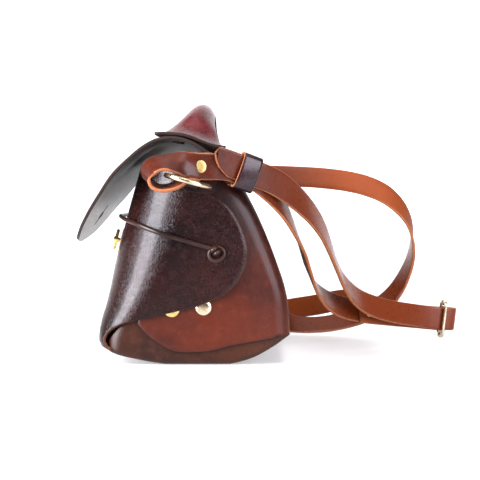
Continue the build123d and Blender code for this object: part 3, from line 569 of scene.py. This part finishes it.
def grain_leather(name, base, deep, light, gloss, grain_mm, relief_mm, coat=0.25, painted_light_gradient=None):
    """Dyed leather: mottled colour, pebbled grain with fine creases, and a worn sheen."""
    finish = Finish(name)
    broad = finish.noise(22.0, 3.0)
    patchy = finish.noise(160.0, 5.0, 0.65)
    tone = finish.mix(finish.spread(broad, 0.35, 0.65, 0.0, 1.0), deep, base)
    dull = None
    # The optional gradient is painted light and shade: it takes the colour towards another along X, Y or Z,
    # and adds roughness with it.
    if painted_light_gradient:
        axis, low, high, shade, duller = painted_light_gradient
        share = finish.along(axis, low, high)
        tone = finish.mix(share, tone, shade)
        dull = finish.math("MULTIPLY", share, duller)
    tone = finish.mix(finish.spread(patchy, 0.5, 0.8, 0.0, 0.38), tone, light)
    pebble = finish.cells(1000 / grain_mm, "DISTANCE_TO_EDGE")
    crease = finish.spread(pebble, 0.0, 0.28, 0.0, 1.0)
    tone = finish.mix(finish.spread(crease, 0.0, 1.0, 0.35, 0.0), tone, deep)
    finish.join(tone, finish.shader.inputs["Base Color"])
    rough = finish.spread(patchy, 0.3, 0.7, gloss - 0.07, gloss + 0.1)
    if dull:
        rough = finish.math("ADD", rough, dull)
    finish.join(rough, finish.shader.inputs["Roughness"])
    fine = finish.noise(1900.0, 3.0)
    wrinkle = finish.noise(110.0, 4.0, 0.6)
    height = finish.math("MULTIPLY", crease, 0.45)
    height = finish.math("ADD", height, finish.math("MULTIPLY", fine, 0.1))
    height = finish.math("ADD", height, finish.math("MULTIPLY", wrinkle, 0.8))
    finish.bump(height, relief_mm)
    finish.shader.inputs["Coat Weight"].default_value = coat
    finish.shader.inputs["Coat Roughness"].default_value = 0.2
    finish.shader.inputs["Specular IOR Level"].default_value = 0.15
    return finish.material


def raw_leather(name, base, deep, fibre_mm, rough, painted_shade_near_rings=None):
    """Cut edge or flesh side: matt, short fibres, darker flecks; the optional last colour is painted shade
    near the rings.
    """
    finish = Finish(name)
    fibres = finish.noise(1000 / fibre_mm, 6.0, 0.7)
    flecks = finish.noise(240.0, 4.0, 0.6)
    tone = finish.mix(finish.spread(fibres, 0.35, 0.7, 0.0, 1.0), deep, base)
    tone = finish.mix(finish.spread(flecks, 0.5, 0.75, 0.0, 0.5), tone, deep)
    if painted_shade_near_rings:
        # Painted shade: the flesh side darkens towards the rings, at low X and high Z.
        away = finish.math("MAXIMUM", finish.along("X", 60, 140), finish.along("Z", 120, 60))
        tone = finish.mix(away, painted_shade_near_rings, tone)
    finish.join(tone, finish.shader.inputs["Base Color"])
    finish.join(finish.spread(flecks, 0.3, 0.7, rough - 0.08, rough + 0.08),
                finish.shader.inputs["Roughness"])
    finish.bump(finish.math("ADD", fibres, finish.math("MULTIPLY", flecks, 0.8)), 0.28)
    finish.shader.inputs["Specular IOR Level"].default_value = 0.2
    return finish.material


def metal(name, base, worn, gloss):
    """Plated metal with tarnish clouds and fine handling marks."""
    finish = Finish(name)
    clouds = finish.noise(140.0, 4.0)
    marks = finish.noise(900.0, 2.0, 0.5, (1.0, 6.0, 1.0))
    finish.join(finish.mix(finish.spread(clouds, 0.4, 0.7, 0.0, 1.0), base, worn),
                finish.shader.inputs["Base Color"])
    finish.shader.inputs["Metallic"].default_value = 1.0
    finish.join(finish.spread(marks, 0.3, 0.7, gloss - 0.05, gloss + 0.1), finish.shader.inputs["Roughness"])
    finish.bump(finish.math("ADD", clouds, finish.math("MULTIPLY", marks, 0.25)), 0.05)
    return finish.material


FRONT = grain_leather("front_grain", (34, 9, 7), (14, 4, 4), (58, 19, 13), 0.24, 1.9, 0.32, 0.22)
# Back: painted shade, darker from 30 mm up to 120 mm towards the flap.
BACK = grain_leather("back_grain", (76, 25, 6), (52, 15, 6), (98, 40, 14), 0.38, 1.6, 0.14,
                     0.2, ("Z", 30, 120, (32, 11, 10), 0.0))
BOTTOM = grain_leather("bottom_grain", (60, 28, 12), (34, 15, 8), (82, 42, 20), 0.38, 1.7,
                       0.14, 0.1)
FLAP = grain_leather("flap_grain", (42, 13, 12), (20, 7, 7), (68, 25, 20), 0.26, 1.6, 0.14, 0.3)
HANDLE = grain_leather("handle_grain", (100, 16, 21), (54, 9, 13), (130, 40, 40), 0.2, 2.0,
                       0.18, 0.3)
# Strap grain: painted light, lighter from X 10 mm to 110 mm towards the back of the bag.
STRAP = grain_leather("strap_grain", (76, 29, 13), (56, 19, 10), (104, 47, 22), 0.3, 1.8,
                      0.1, 0.25, ("X", 10, 110, (112, 47, 19), 0.0))
TAB = grain_leather("tab_grain", (36, 13, 10), (19, 7, 6), (58, 23, 16), 0.34, 1.8, 0.1, 0.1)
KEEPER = grain_leather("keeper_grain", (42, 18, 24), (20, 9, 13), (80, 48, 60), 0.2, 1.8,
                       0.14, 0.5)
LACE = grain_leather("lace_grain", (50, 27, 20), (26, 14, 10), (78, 46, 34), 0.32, 1.2, 0.08,
                     0.25)
FLESH = raw_leather("flesh_side", (120, 92, 76), (84, 60, 50), 1.1, 0.85)
DARK_FLESH = raw_leather("dark_flesh_side", (44, 30, 26), (24, 17, 15), 1.1, 0.6)
# Flap underside: the pale grey is a painted reflection, strongest below 118 mm; above 148 mm it turns near
# black.
FLESH_PAINTED_REFLECTION = grain_leather("flesh_side_painted_reflection", (142, 137, 129), (122, 117, 110), (160, 156, 148),
                             0.3, 1.4, 0.12, 0.2, ("Z", 118, 148, (7, 5, 4), 0.3))
# Strap flesh: orange, with painted shade in darker red-brown towards the rings.
STRAP_FLESH = raw_leather("strap_flesh_side", (140, 66, 22), (120, 52, 20), 0.5, 0.5,
                          (78, 36, 22))
EDGE_TAN = raw_leather("tan_cut_edge", (176, 112, 70), (118, 66, 40), 0.7, 0.8)
EDGE_BROWN = raw_leather("brown_cut_edge", (104, 62, 40), (54, 31, 22), 0.7, 0.7)
EDGE_DARK = raw_leather("dark_cut_edge", (46, 27, 21), (24, 15, 12), 0.7, 0.6)
BRASS = metal("brass", (232, 212, 146), (196, 164, 92), 0.4)
DARK_BRASS = metal("dark_brass", (62, 46, 30), (38, 28, 20), 0.5)
NICKEL_BRASS = metal("nickel_brass", (214, 200, 172), (168, 146, 108), 0.2)

# ---------------------------------------------------------------- camera
camera_data = bpy.data.cameras.new("camera")
camera_data.sensor_width = 36.0
camera_data.lens = 85.7
camera = bpy.data.objects.new("camera", camera_data)
camera.location = (0.033, -0.995, 0.128)
camera.rotation_euler = (math.radians(88.0), 0, 0)
bpy.context.scene.collection.objects.link(camera)
bpy.context.scene.camera = camera


# ---------------------------------------------------------------- lace and its knots
def mirrored(points):
    return [(x, -y, z) for x, y, z in points]


lace_route = LACE_HALF + mirrored(LACE_HALF[::-1])
lace_data = bpy.data.curves.new("lace_cord", "CURVE")
lace_data.dimensions = "3D"
lace_data.bevel_depth = LACE_DIAMETER / 2 * MM
lace_data.bevel_resolution = 4
lace_data.resolution_u = 12
lace_data.use_fill_caps = True
lace_line = lace_data.splines.new("NURBS")
lace_line.points.add(len(lace_route) - 1)
for control, place in zip(lace_line.points, lace_route):
    control.co = (*(Vector(place) * MM), 1.0)
lace_line.order_u = 3
lace_line.use_endpoint_u = True
lace_data.materials.append(LACE)
lace_cord = bpy.data.objects.new("lace_cord", lace_data)
bpy.context.scene.collection.objects.link(lace_cord)
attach(lace_cord, "bag")
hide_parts("lace")


def knot(name, sign, node):
    """A loop of lace round its hole, drawn together by two turns where the cord leaves."""
    cx, cy, cz = KNOT_CENTRE
    line = []
    for index in range(24):
        angle = math.radians(100 + index * 15.2)
        reach = 5.5 + 0.4 * math.sin(2 * angle + 0.6)
        line.append((cx + reach * math.cos(angle), cy + 0.4 * math.sin(1.5 * angle),
                     cz + reach * math.sin(angle)))
    for index in range(1, 15):
        angle = math.radians(60 + index * 52)
        line.append((cx - 3.4 + index * 0.34 + 1.2 * math.cos(angle), cy + 1.0 - 2.9 * math.sin(angle),
                     cz + 5.4 - index * 0.38 + 1.7 * math.cos(angle)))
    line = [(x, sign * y, z) for x, y, z in smooth_curve(line, 0.9)]
    taper = [LACE_DIAMETER / 2 * min(1.0, 0.55 + 0.2 * min(index, len(line) - 1 - index)) * 0.93
             for index in range(len(line))]
    piece = tube(name, line, taper, LACE, "bag")
    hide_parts(node)
    return piece


knots = [knot("knot_near", -1, "lace_knot_near"), knot("knot_far", 1, "lace_knot_far")]


# ---------------------------------------------------------------- body sheets
def front_row(reach, height, count):
    """One height of the front sheet, from its near free edge round the front to its far one."""
    middle, side, _, radius = reading(LEVEL_TABLE, height)
    if height < 36:
        keel = reading(KEEL_FRONT_TABLE, height)[0]
        middle, side = max(middle, keel), max(side, keel)
    line = []
    for index in range(13):
        t = index / 12
        line.append((middle + (side - middle) * t * t * (3 - 2 * t), -t * (END - radius)))
    for index in range(1, 49):
        angle = math.pi / 2 * index / 48
        x = side + radius * (1 - math.cos(angle))
        if x >= reach:
            break
        line.append((x, -END + radius * (1 - math.sin(angle))))
    share = min(1.0, (reach - side) / radius)
    line.append((reach, -END + radius * (1 - math.sqrt(1 - (1 - share) ** 2))))
    near = [waved((x, y, height)) for x, y in spaced(line, count)]
    far = [waved((x, -y, height)) for x, y in spaced(line, count)]
    return near[::-1] + far[1:]


front_edge = smooth_curve(FRONT_EDGE, 3.2, 2)
front_grid = [front_row(x, z, 60) for x, z in front_edge]
front_skin = leather_sheet("front_sheet", front_grid, LEATHER, [FRONT, DARK_FLESH, EDGE_BROWN], "bag",
                           (0, 0, 90))
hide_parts("front_panel")


def wing_y(x, height, inset):
    """How far out an end wing lies at x: the end's flat, or the front corner's bend."""
    _, side, _, radius = reading(LEVEL_TABLE, height)
    dip = max(0.0, min(1.0, (side + radius - x) / (radius - inset)))
    return END - inset - (radius - inset) * (1 - math.sqrt(1 - dip ** 2))


def crown(x, height):
    """How far an end wing curves in where it nears the back."""
    back = reading(LEVEL_TABLE, height)[2]
    return 5.0 * max(0.0, min(1.0, (x - 6.0) / (back - 6.0))) ** 2


back_low = smooth_curve(BACK_LOW, 2.0, 1)
back_high = smooth_curve(BACK_HIGH, 2.0, 1)


def back_column(share, part, rows=46):
    """One line of the back sheet from its lower to its upper edge; part is wall, bend or wing."""
    end = END - LAYER
    bend = BACK_BEND - LAYER
    low_x = (72 - bend) + (-46 - 72 + bend) * share
    high_x = (34.6 - bend) + (-18 - 34.6 + bend) * share
    low = reading(back_low, low_x)[0] if part == "wing" else 23.0
    high = reading(back_high, high_x)[0] if part == "wing" else 139.5
    column = []
    for row in range(rows):
        t = row / (rows - 1)
        z = low + (high - low) * t
        back = reading(LEVEL_TABLE, z)[2]
        if part == "wall":
            x, y = back, -share * (end - bend)
        elif part == "bend":
            angle = math.pi / 2 * share
            x, y = back - bend + bend * math.cos(angle), -end + bend - bend * math.sin(angle)
            y += crown(x, z) * share
        else:
            x = (back - bend) * (1 - share) + (-46 + 28 * t) * share
            y = crown(x, z) - wing_y(x, z, LAYER)
        column.append((x, y, z))
    return column


near_columns = [back_column(k / 14, "wall") for k in range(14)]
near_columns += [back_column(k / 8, "bend") for k in range(8)]
near_columns += [back_column(k / 44, "wing") for k in range(45)]
far_columns = [mirrored(column) for column in near_columns[1:]]
all_columns = near_columns[::-1] + far_columns
back_grid = [[waved(column[row]) for column in all_columns] for row in range(46)]
back_skin = leather_sheet("back_sheet", back_grid, LEATHER, [BACK, FLESH, EDGE_DARK], "bag",
                          (0, 0, 80))
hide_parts("back_panel")

bottom_high = smooth_curve(BOTTOM_HIGH, 2.0, 1)


def bottom_line(x):
    """The bottom sheet's line across the bag at one x: up one end wing, under the bag and up the other."""
    end = END - 2 * LAYER
    foot = max(0.0, reading(KEEL_TABLE, x)[0])
    top = max(reading(bottom_high, x)[0], foot + 0.6)
    fold = min(4.5, (top - foot) * 0.8)
    heights = [top - (top - foot - fold) * k / 12 for k in range(13)]
    line = [(crown(x, z) - min(end, wing_y(x, z, 2 * LAYER)), z) for z in heights]
    end = -line[-1][0]
    line += [(-end + fold * (1 - math.cos(math.pi / 2 * k / 6)),
              foot + fold * (1 - math.sin(math.pi / 2 * k / 6)))
             for k in range(1, 7)]
    line += [(-(end - fold) * (1 - k / 10), foot) for k in range(1, 11)]
    both = line + [(-y, z) for y, z in line[-2::-1]]
    return [waved((x, y, z)) if z > 2.5 else Vector((x, y, z)) for y, z in both]


bottom_grid = [bottom_line(-69.4 + 140.8 * k / 76) for k in range(77)]
bottom_skin = leather_sheet("bottom_sheet", bottom_grid, LEATHER, [BOTTOM, FLESH, EDGE_BROWN], "bag",
                            (0, 0, 80))
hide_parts("bottom_panel")

# ---------------------------------------------------------------- flap
def cut_slot(skin):
    """Cuts the turn-lock's slot through the flap, wider in its middle, with walls like the cut edge."""
    (low_x, low_z), (high_x, high_z) = FLAP_PROFILE[-1], FLAP_PROFILE[10]
    slope = Vector((low_x - high_x, 0, low_z - high_z)).normalized()
    out = slope.cross(ALONG_BAG)
    centre = Vector((SLOT_CENTRE[0], 0, SLOT_CENTRE[1]))
    end = arc(8.2, 0, 2.3, 2.3, -90, 90, 15)
    middle = arc(0, 0, 4.6, 6.4, 24, 156, 12)
    loop = end + middle + half_turn(end) + half_turn(middle)
    count = len(loop)
    points = [centre + slope * p + ALONG_BAG * q + out * h for h in (-9, 9) for p, q in loop]
    faces = [(k, (k + 1) % count, count + (k + 1) % count, count + k) for k in range(count)]
    faces += [tuple(range(count))[::-1], tuple(range(count, 2 * count))]
    mesh = bpy.data.meshes.new("slot_cutter")
    mesh.from_pydata([point * MM for point in points], [], faces)
    face_outward(mesh)
    cutter = bpy.data.objects.new("slot_cutter", mesh)
    bpy.context.scene.collection.objects.link(cutter)
    cut = skin.modifiers.new("slot", "BOOLEAN")
    cut.object = cutter
    cut.operation = "DIFFERENCE"
    cut.solver = "EXACT"
    bpy.context.view_layer.update()
    result = skin.evaluated_get(bpy.context.evaluated_depsgraph_get())
    cut_mesh = bpy.data.meshes.new_from_object(result)
    skin.modifiers.clear()
    skin.data = cut_mesh
    bpy.data.objects.remove(cutter)
    for polygon in skin.data.polygons:
        place = Vector(polygon.center) / MM - centre
        inside = abs(place.dot(slope)) < 11 and abs(place.y) < 6.7
        if inside and abs(polygon.normal.dot(out)) < 0.5:
            polygon.material_index = 2


flap_line = smooth_curve(FLAP_PROFILE, 3.0, 2)
flap_lengths = [0.0]
for a, b in zip(flap_line, flap_line[1:]):
    flap_lengths.append(flap_lengths[-1] + math.dist(a, b))
flap_span = flap_lengths[-1]
flap_table = [[length, *point] for length, point in zip(flap_lengths, flap_line)]
straight = flap_span - FLAP_ROUNDING
flap_stops = [straight * k / 44 for k in range(44)]
flap_stops += [straight + FLAP_ROUNDING * math.sin(math.pi / 2 * k / 46) for k in range(46)]
flap_grid = []
for stop in flap_stops:
    x, z = reading(flap_table, stop)
    beyond = max(0.0, stop - straight) / FLAP_ROUNDING
    half = END * math.sqrt(1 - beyond ** 2)
    row = []
    for k in range(61):
        y = half * math.sin(math.pi / 2 * (k / 30 - 1)) * 0.35 + half * (k / 30 - 1) * 0.65
        swell = noise.noise(Vector((x / 34, y / 34, z / 34))) * 0.7 * min(1.0, stop / 30)
        row.append(Vector((x - 0.4 * swell, y, z + swell)))
    flap_grid.append(row)
flap_skin = leather_sheet("flap_sheet", flap_grid, FLAP_LEATHER, [FLAP, FLESH_PAINTED_REFLECTION, EDGE_DARK], None,
                          (0, 0, 100))
cut_slot(flap_skin)
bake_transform(flap_skin)
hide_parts("flap")

# ---------------------------------------------------------------- handle
handle_table = []
for distance, under in HANDLE_SECTIONS[::-1]:
    handle_table.append([distance] + [value for point in under for value in point])
handle_table = [[-row[0]] + row[1:] for row in handle_table[:0:-1]] + handle_table
handle_rows = smooth_curve(handle_table, 3.0, 1)
handle_grid = []
for row in handle_rows:
    under = [(row[index], row[0], row[index + 1]) for index in range(1, len(row), 2)]
    line = [Vector(point) for point in spaced(smooth_curve(under, 1.5), 22)]
    handle_grid.append(line)
handle_up = grid_normals(handle_grid, False)
rise = 1 if handle_up[len(handle_up) // 2][10].z > 0 else -1
top_grid = [[point + normal * rise * HANDLE_LEATHER for point, normal in zip(line, ups)] for line, ups in
            zip(handle_grid, handle_up)]
top_grid = [[point + Vector((0, 0, noise.noise(point / 21) * 0.4)) for point in line] for line in top_grid]
handle_skin = leather_sheet("handle_sheet", top_grid, HANDLE_LEATHER - 0.1, [HANDLE, DARK_FLESH, EDGE_DARK],
                            "flap",
                            (0, 0, 100))
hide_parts("handle")


# ---------------------------------------------------------------- straps
def strap(name, stations, nodes, tip=None):
    """A strap through its stations, grain on the outer side; tip gives how far in each width place starts."""
    rows = smooth_curve([[*place, *wide] for place, wide in stations], 1.6)
    lengths = [0.0]
    for a, b in zip(rows, rows[1:]):
        lengths.append(lengths[-1] + math.dist(a[:3], b[:3]))
    table = [[length, *row] for length, row in zip(lengths, rows)]
    half, thick = STRAP_HALF, STRAP_LEATHER / 2
    section = [(-9.5, thick), (-8, thick + 0.08), (-4, thick + 0.12), (0, thick + 0.14), (4, thick + 0.12),
               (8, thick + 0.08), (9.5, thick), (half, 0.75), (half + 0.05, 0), (half, -0.75), (9.5, -thick),
               (4.8, -thick), (0, -thick), (-4.8, -thick), (-9.5, -thick), (-half, -0.75), (-half - 0.05, 0),
               (-half, 0.75)]
    marks = [0] * 6 + [2] * 4 + [1] * 4 + [2] * 4
    rings = []
    reach = 26.0
    for length in lengths:
        ring = []
        for a, b in section:
            at = length
            if tip and length < reach:
                start = tip(a)
                at = start + (reach - start) * length / reach
            here = reading(table, at)
            ahead = reading(table, at + 0.8)
            behind = reading(table, at - 0.8)
            along = (Vector(ahead[:3]) - Vector(behind[:3])).normalized()
            wide = Vector(here[3:])
            wide = (wide - along * wide.dot(along)).normalized()
            out = along.cross(wide)
            wear = noise.noise(Vector((at / 9, a / 4, b))) * 0.12
            thicker = 1 + 0.4 * max(0.0, 1 - length / reach) if tip else 1
            ring.append(Vector(here[:3]) + wide * (a + (wear if abs(a) > 9.4 else 0)) + out * b * thicker)
        rings.append(ring)
    piece = swept(name, rings, [STRAP, STRAP_FLESH, EDGE_TAN], marks, "strap", cap=2)
    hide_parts(*nodes)


def long_tip(across):
    """The long strap's rounded, slanting end."""
    return reading([[-10, 15.5], [-8, 10.5], [-5, 5.5], [-2, 2.4], [1, 0.4], [4, -0.9], [7, -0.8], [9, 0.8],
                    [10, 3.2]], across)[0] + 1.2


far_fold = [((x, -y, z), (wx, -wy, wz)) for (x, y, z), (wx, wy, wz) in RING_FOLD[::-1]]
strap("short_strap", RING_FOLD + SHORT_RUN, ["strap_short_fold", "strap_short_run"])
strap("long_strap", LONG_RUN + far_fold, ["strap_long_upper", "strap_long_slider", "strap_long_ground",
                                          "strap_long_arch", "strap_long_fold"], long_tip)

# ---------------------------------------------------------------- keeper
keeper_out = KEEPER_ALONG.cross(KEEPER_UP).normalized()
keeper_up = keeper_out.cross(KEEPER_ALONG).normalized()
half_up, half_out = KEEPER_HOLE[0] / 2 + 2.0, KEEPER_HOLE[1] / 2 + 2.0
keeper_loop = band_outline(half_up, half_out, 4.8, 6, 48)
keeper_grid = []
for k in range(9):
    lay = -7.5 + 15 * k / 8
    pinch = 0.35 * (1 - (lay / 7.5) ** 2)
    keeper_grid.append([KEEPER_CENTRE + KEEPER_ALONG * lay + keeper_up * p
                        + keeper_out * q * (1 + (pinch + 1.5 * (1 - (p / half_up) ** 2)) / half_out)
                        for p, q in keeper_loop])
keeper_skin = leather_sheet("keeper_loop", keeper_grid, 1.9, [KEEPER, FLESH, EDGE_TAN], "keeper",
                            KEEPER_CENTRE, wrap=True, bulge=0.35)
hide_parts("strap_keeper")

# ---------------------------------------------------------------- rivets
DOME = [(0, 0), (1.0, 0), (0.985, 0.24), (0.9, 0.5), (0.74, 0.74), (0.5, 0.92), (0.25, 0.985), (0, 1.0)]


def domes(name, places, radius, height, material, body, slot, *nodes):
    profile = [(r * radius, h * height) for r, h in smooth_curve(DOME, 0.12, 2)]
    profile[0], profile[-1] = (0, profile[0][1]), (0, profile[-1][1])
    piece = turned(name, places, profile, material, body)
    if nodes:
        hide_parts(*nodes)
    return piece


near_wing = [((x, -(END - LAYER) + 0.5, z), (0, -1, 0)) for x, z in SIDE_RIVETS]
far_wing = [((x, END - LAYER - 0.5, z), (0, 1, 0)) for x, z in SIDE_RIVETS]
domes("side_rivets_plain", [near_wing[0], far_wing[0]], 6.4, 1.8, NICKEL_BRASS, "bag", "nickel_brass",
      "side_rivet_caps")
domes("side_rivets_gold", [near_wing[1], far_wing[1]], 6.4, 1.8, BRASS, "bag", "brass")
lean = Vector((0.13, 0, 1)).normalized()
domes("handle_rivets", [((-14, sign * 97, 179.6), lean) for sign in (-1, 1)], 4.5, 1.3, DARK_BRASS, "flap",
      "brass",
      "handle_rivet_caps")
for sign, node, name in ((-1, "strap_rivet_near", "near_strap_rivet"),
                         (1, "strap_rivet_far", "far_strap_rivet")):
    foot = (2.3, sign * 133.4, 153.3)
    domes(name, [(foot, (0, sign, 0)), ((2.3, sign * 129.2, 153.3), (0, -sign, 0))], 5.5, 1.2, BRASS,
          "strap", "brass", node)
slider_axis = Vector((0.6, -0.8, 0))
slider_foot = Vector((146.0, 9.5, 28.9)) + slider_axis * 1.2
domes("strap_end_rivet", [(slider_foot, slider_axis), (slider_foot - slider_axis * 7.4, -slider_axis)], 4.0,
      1.6,
      BRASS, "strap", "brass", "slider_rivet")
domes("tab_rivets", [((4, sign * 116.6, 147.5), (0, sign, 0)) for sign in (-1, 1)], 3.6, 1.9, BRASS, "bag",
      "brass", "ring_tab_rivets")

# ---------------------------------------------------------------- rings and their tabs
shield = rounded([(-13, 152), (-13, 140), (-9, 134.5), (11, 132.5), (15, 136), (15, 145), (9, 152)], 2.4)
for sign, body, tab, ring_name, tab_name in ((-1, "ring_near", "ring_tab_near", "near_ring", "near_tab"),
                                             (1, "ring_far", "ring_tab_far", "far_ring", "far_tab")):
    centre = Vector((RING_CENTRE[0], sign * RING_CENTRE[1], RING_CENTRE[2]))
    circle = [centre + (RING_LEVEL * math.cos(2 * math.pi * k / 96)
                        + ALONG_BAG * math.sin(2 * math.pi * k / 96))
              * RING_RADIUS for k in range(96)]
    ring_piece = tube(ring_name, circle, RING_WIRE, NICKEL_BRASS, body, closed=True, sides=18)
    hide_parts(body)
    tail = plate(tab_name, shield, (0, sign * 115.1, 0), (1, 0, 0), (0, 0, 1), -2.0 * sign, 0.5,
                 [TAB, EDGE_DARK], "bag")
    hold = Vector((RING_CENTRE[0], sign * 120.9, RING_CENTRE[2]))
    loop = band_outline(3.8 + 2.0, 2.55 + 2.0, 4.3, 8, 40)
    loop_grid = [[hold + RING_LEVEL * (-7 + 14 * k / 6) + ALONG_BAG * p + RING_NORMAL * q for p, q in loop]
                 for k in range(7)]
    leather_sheet(tab_name + "_loop", loop_grid, 1.9, [TAB, FLESH, EDGE_DARK], "bag", hold,
                  wrap=True, bulge=0.3)
    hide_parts(tab)

# ---------------------------------------------------------------- turn-lock
base_outline = rounded_box(6.5, 11, 5, 8)
lock_base = plate("lock_plate", base_outline, LOCK_SEAT + LOCK_OUT * 0.25, ALONG_BAG, LOCK_DOWN, 0.9, 0.4,
                  [BRASS], "bag")
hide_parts("turnlock_base")
post_profile = [(0, -2.6), (1.9, -2.6), (1.9, 1.0), (1.9, 6.6), (2.4, 6.65), (2.4, 7.0), (1.9, 7.4),
                (0.9, 7.6),
                (0, 7.62)]
lock_post = turned("lock_post", [(LOCK_SEAT, LOCK_OUT)], post_profile, BRASS, "bag", 32)
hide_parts("turnlock_post")
toggle_tip = arc(0, 6.5, 2.5, 2.5, 0, 180, 12)
waist = arc(0, 0, -3.1, -3.1, -36, 36, 12)
toggle_outline = toggle_tip + waist + half_turn(toggle_tip) + half_turn(waist)
toggle = plate("lock_toggle", toggle_outline, LOCK_SEAT + LOCK_OUT * 3.9, ALONG_BAG, LOCK_DOWN, 2.6, 0.9,
               [BRASS],
               "toggle")
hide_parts("turnlock_toggle")

# ---------------------------------------------------------------- slider
lean_up = Vector(SLIDER_LEAN).normalized()
frame_loop = rounded_box(SLIDER_HALF_WIDTH, SLIDER_HALF_HEIGHT, 3.0, 6)
frame_line = [SLIDER_CENTRE + ALONG_BAG * p + lean_up * q for p, q in frame_loop]
slider_piece = tube("slider_loop", frame_line, SLIDER_WIRE, NICKEL_BRASS, "slider",
                    closed=True)
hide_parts("slider_frame")
bar_line = [SLIDER_CENTRE + lean_up * (-SLIDER_BAR_HALF + 2 * SLIDER_BAR_HALF * k / 12) for k in range(13)]
bar_piece = tube("slider_pin", bar_line, SLIDER_WIRE - 0.05, NICKEL_BRASS, "slider")
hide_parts("slider_bar")
curl_profile = [(0, -2.6), (2.0, -2.6), (2.45, -2.2), (2.5, 0), (2.45, 2.2), (2.0, 2.6), (0, 2.6)]
for name, end in (("slider_curl_low", -1), ("slider_curl_high", 1)):
    eye = SLIDER_CENTRE + lean_up * SLIDER_HALF_HEIGHT * end
    turned(name, [(eye, ALONG_BAG)], curl_profile, NICKEL_BRASS, "slider", 28)

# ---------------------------------------------------------------- CAD pieces that stay as they are
for node, finish in (("handle_rivet_backs", DARK_BRASS), ("side_rivet_backs", BRASS),
                     ("turnlock_backplate", BRASS)):
    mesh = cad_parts[node].data
    mesh.materials.clear()
    mesh.materials.append(finish)

# ---------------------------------------------------------------- floor, wall and lights
floor_finish = Finish("floor_white")
floor_finish.shader.inputs["Base Color"].default_value = (0.5, 0.5, 0.505, 1)
floor_finish.shader.inputs["Roughness"].default_value = 0.3
floor_finish.shader.inputs["Emission Color"].default_value = (1, 1, 1, 1)
floor_finish.shader.inputs["Emission Strength"].default_value = 0.42
floor_finish.shader.inputs["Specular IOR Level"].default_value = 0.35
bpy.ops.mesh.primitive_plane_add(size=1, location=(0, 1.2, -0.0004))
floor = bpy.context.object
floor.name = "floor"
floor.scale = (9, 3.6, 1)
floor.data.materials.append(floor_finish.material)

wall_material = bpy.data.materials.new("wall_white")
wall_material.use_nodes = True
glow = wall_material.node_tree.nodes["Principled BSDF"]
glow.inputs["Base Color"].default_value = (0.9, 0.9, 0.9, 1)
glow.inputs["Emission Color"].default_value = (1, 1, 1, 1)
glow.inputs["Emission Strength"].default_value = 0.75
bpy.ops.mesh.primitive_plane_add(size=1, location=(0, 2.6, 1.2), rotation=(math.pi / 2, 0, 0))
wall = bpy.context.object
wall.name = "wall"
wall.scale = (9, 3.4, 1)
wall.data.materials.append(wall_material)

world = bpy.data.worlds.new("studio")
bpy.context.scene.world = world
world.use_nodes = True
world.node_tree.nodes["Background"].inputs["Color"].default_value = (0.93, 0.96, 1.0, 1)
world.node_tree.nodes["Background"].inputs["Strength"].default_value = 0.13
bpy.context.scene.view_settings.view_transform = "Standard"


def softbox(name, place, aim, width, height, power, tint=(1, 1, 1)):
    light = bpy.data.lights.new(name, "AREA")
    light.shape = "RECTANGLE"
    light.size = width
    light.size_y = height
    light.energy = power
    light.color = tint
    lamp = bpy.data.objects.new(name, light)
    lamp.location = place
    lamp.rotation_euler = (Vector(aim) - Vector(place)).to_track_quat("-Z", "Y").to_euler()
    bpy.context.scene.collection.objects.link(lamp)


CENTRE = (0.0, 0.0, 0.08)
softbox("left_box", (-1.15, -0.72, 0.5), CENTRE, 0.7, 1.2, 92, (0.94, 0.92, 1.0))
softbox("top_box", (0.1, -0.1, 1.3), CENTRE, 1.3, 1.3, 6)
softbox("front_box", (0.2, -1.0, 1.5), CENTRE, 0.8, 0.6, 6)
softbox("right_box", (0.8, -0.95, 0.5), CENTRE, 0.9, 0.9, 24, (0.93, 0.9, 1.0))
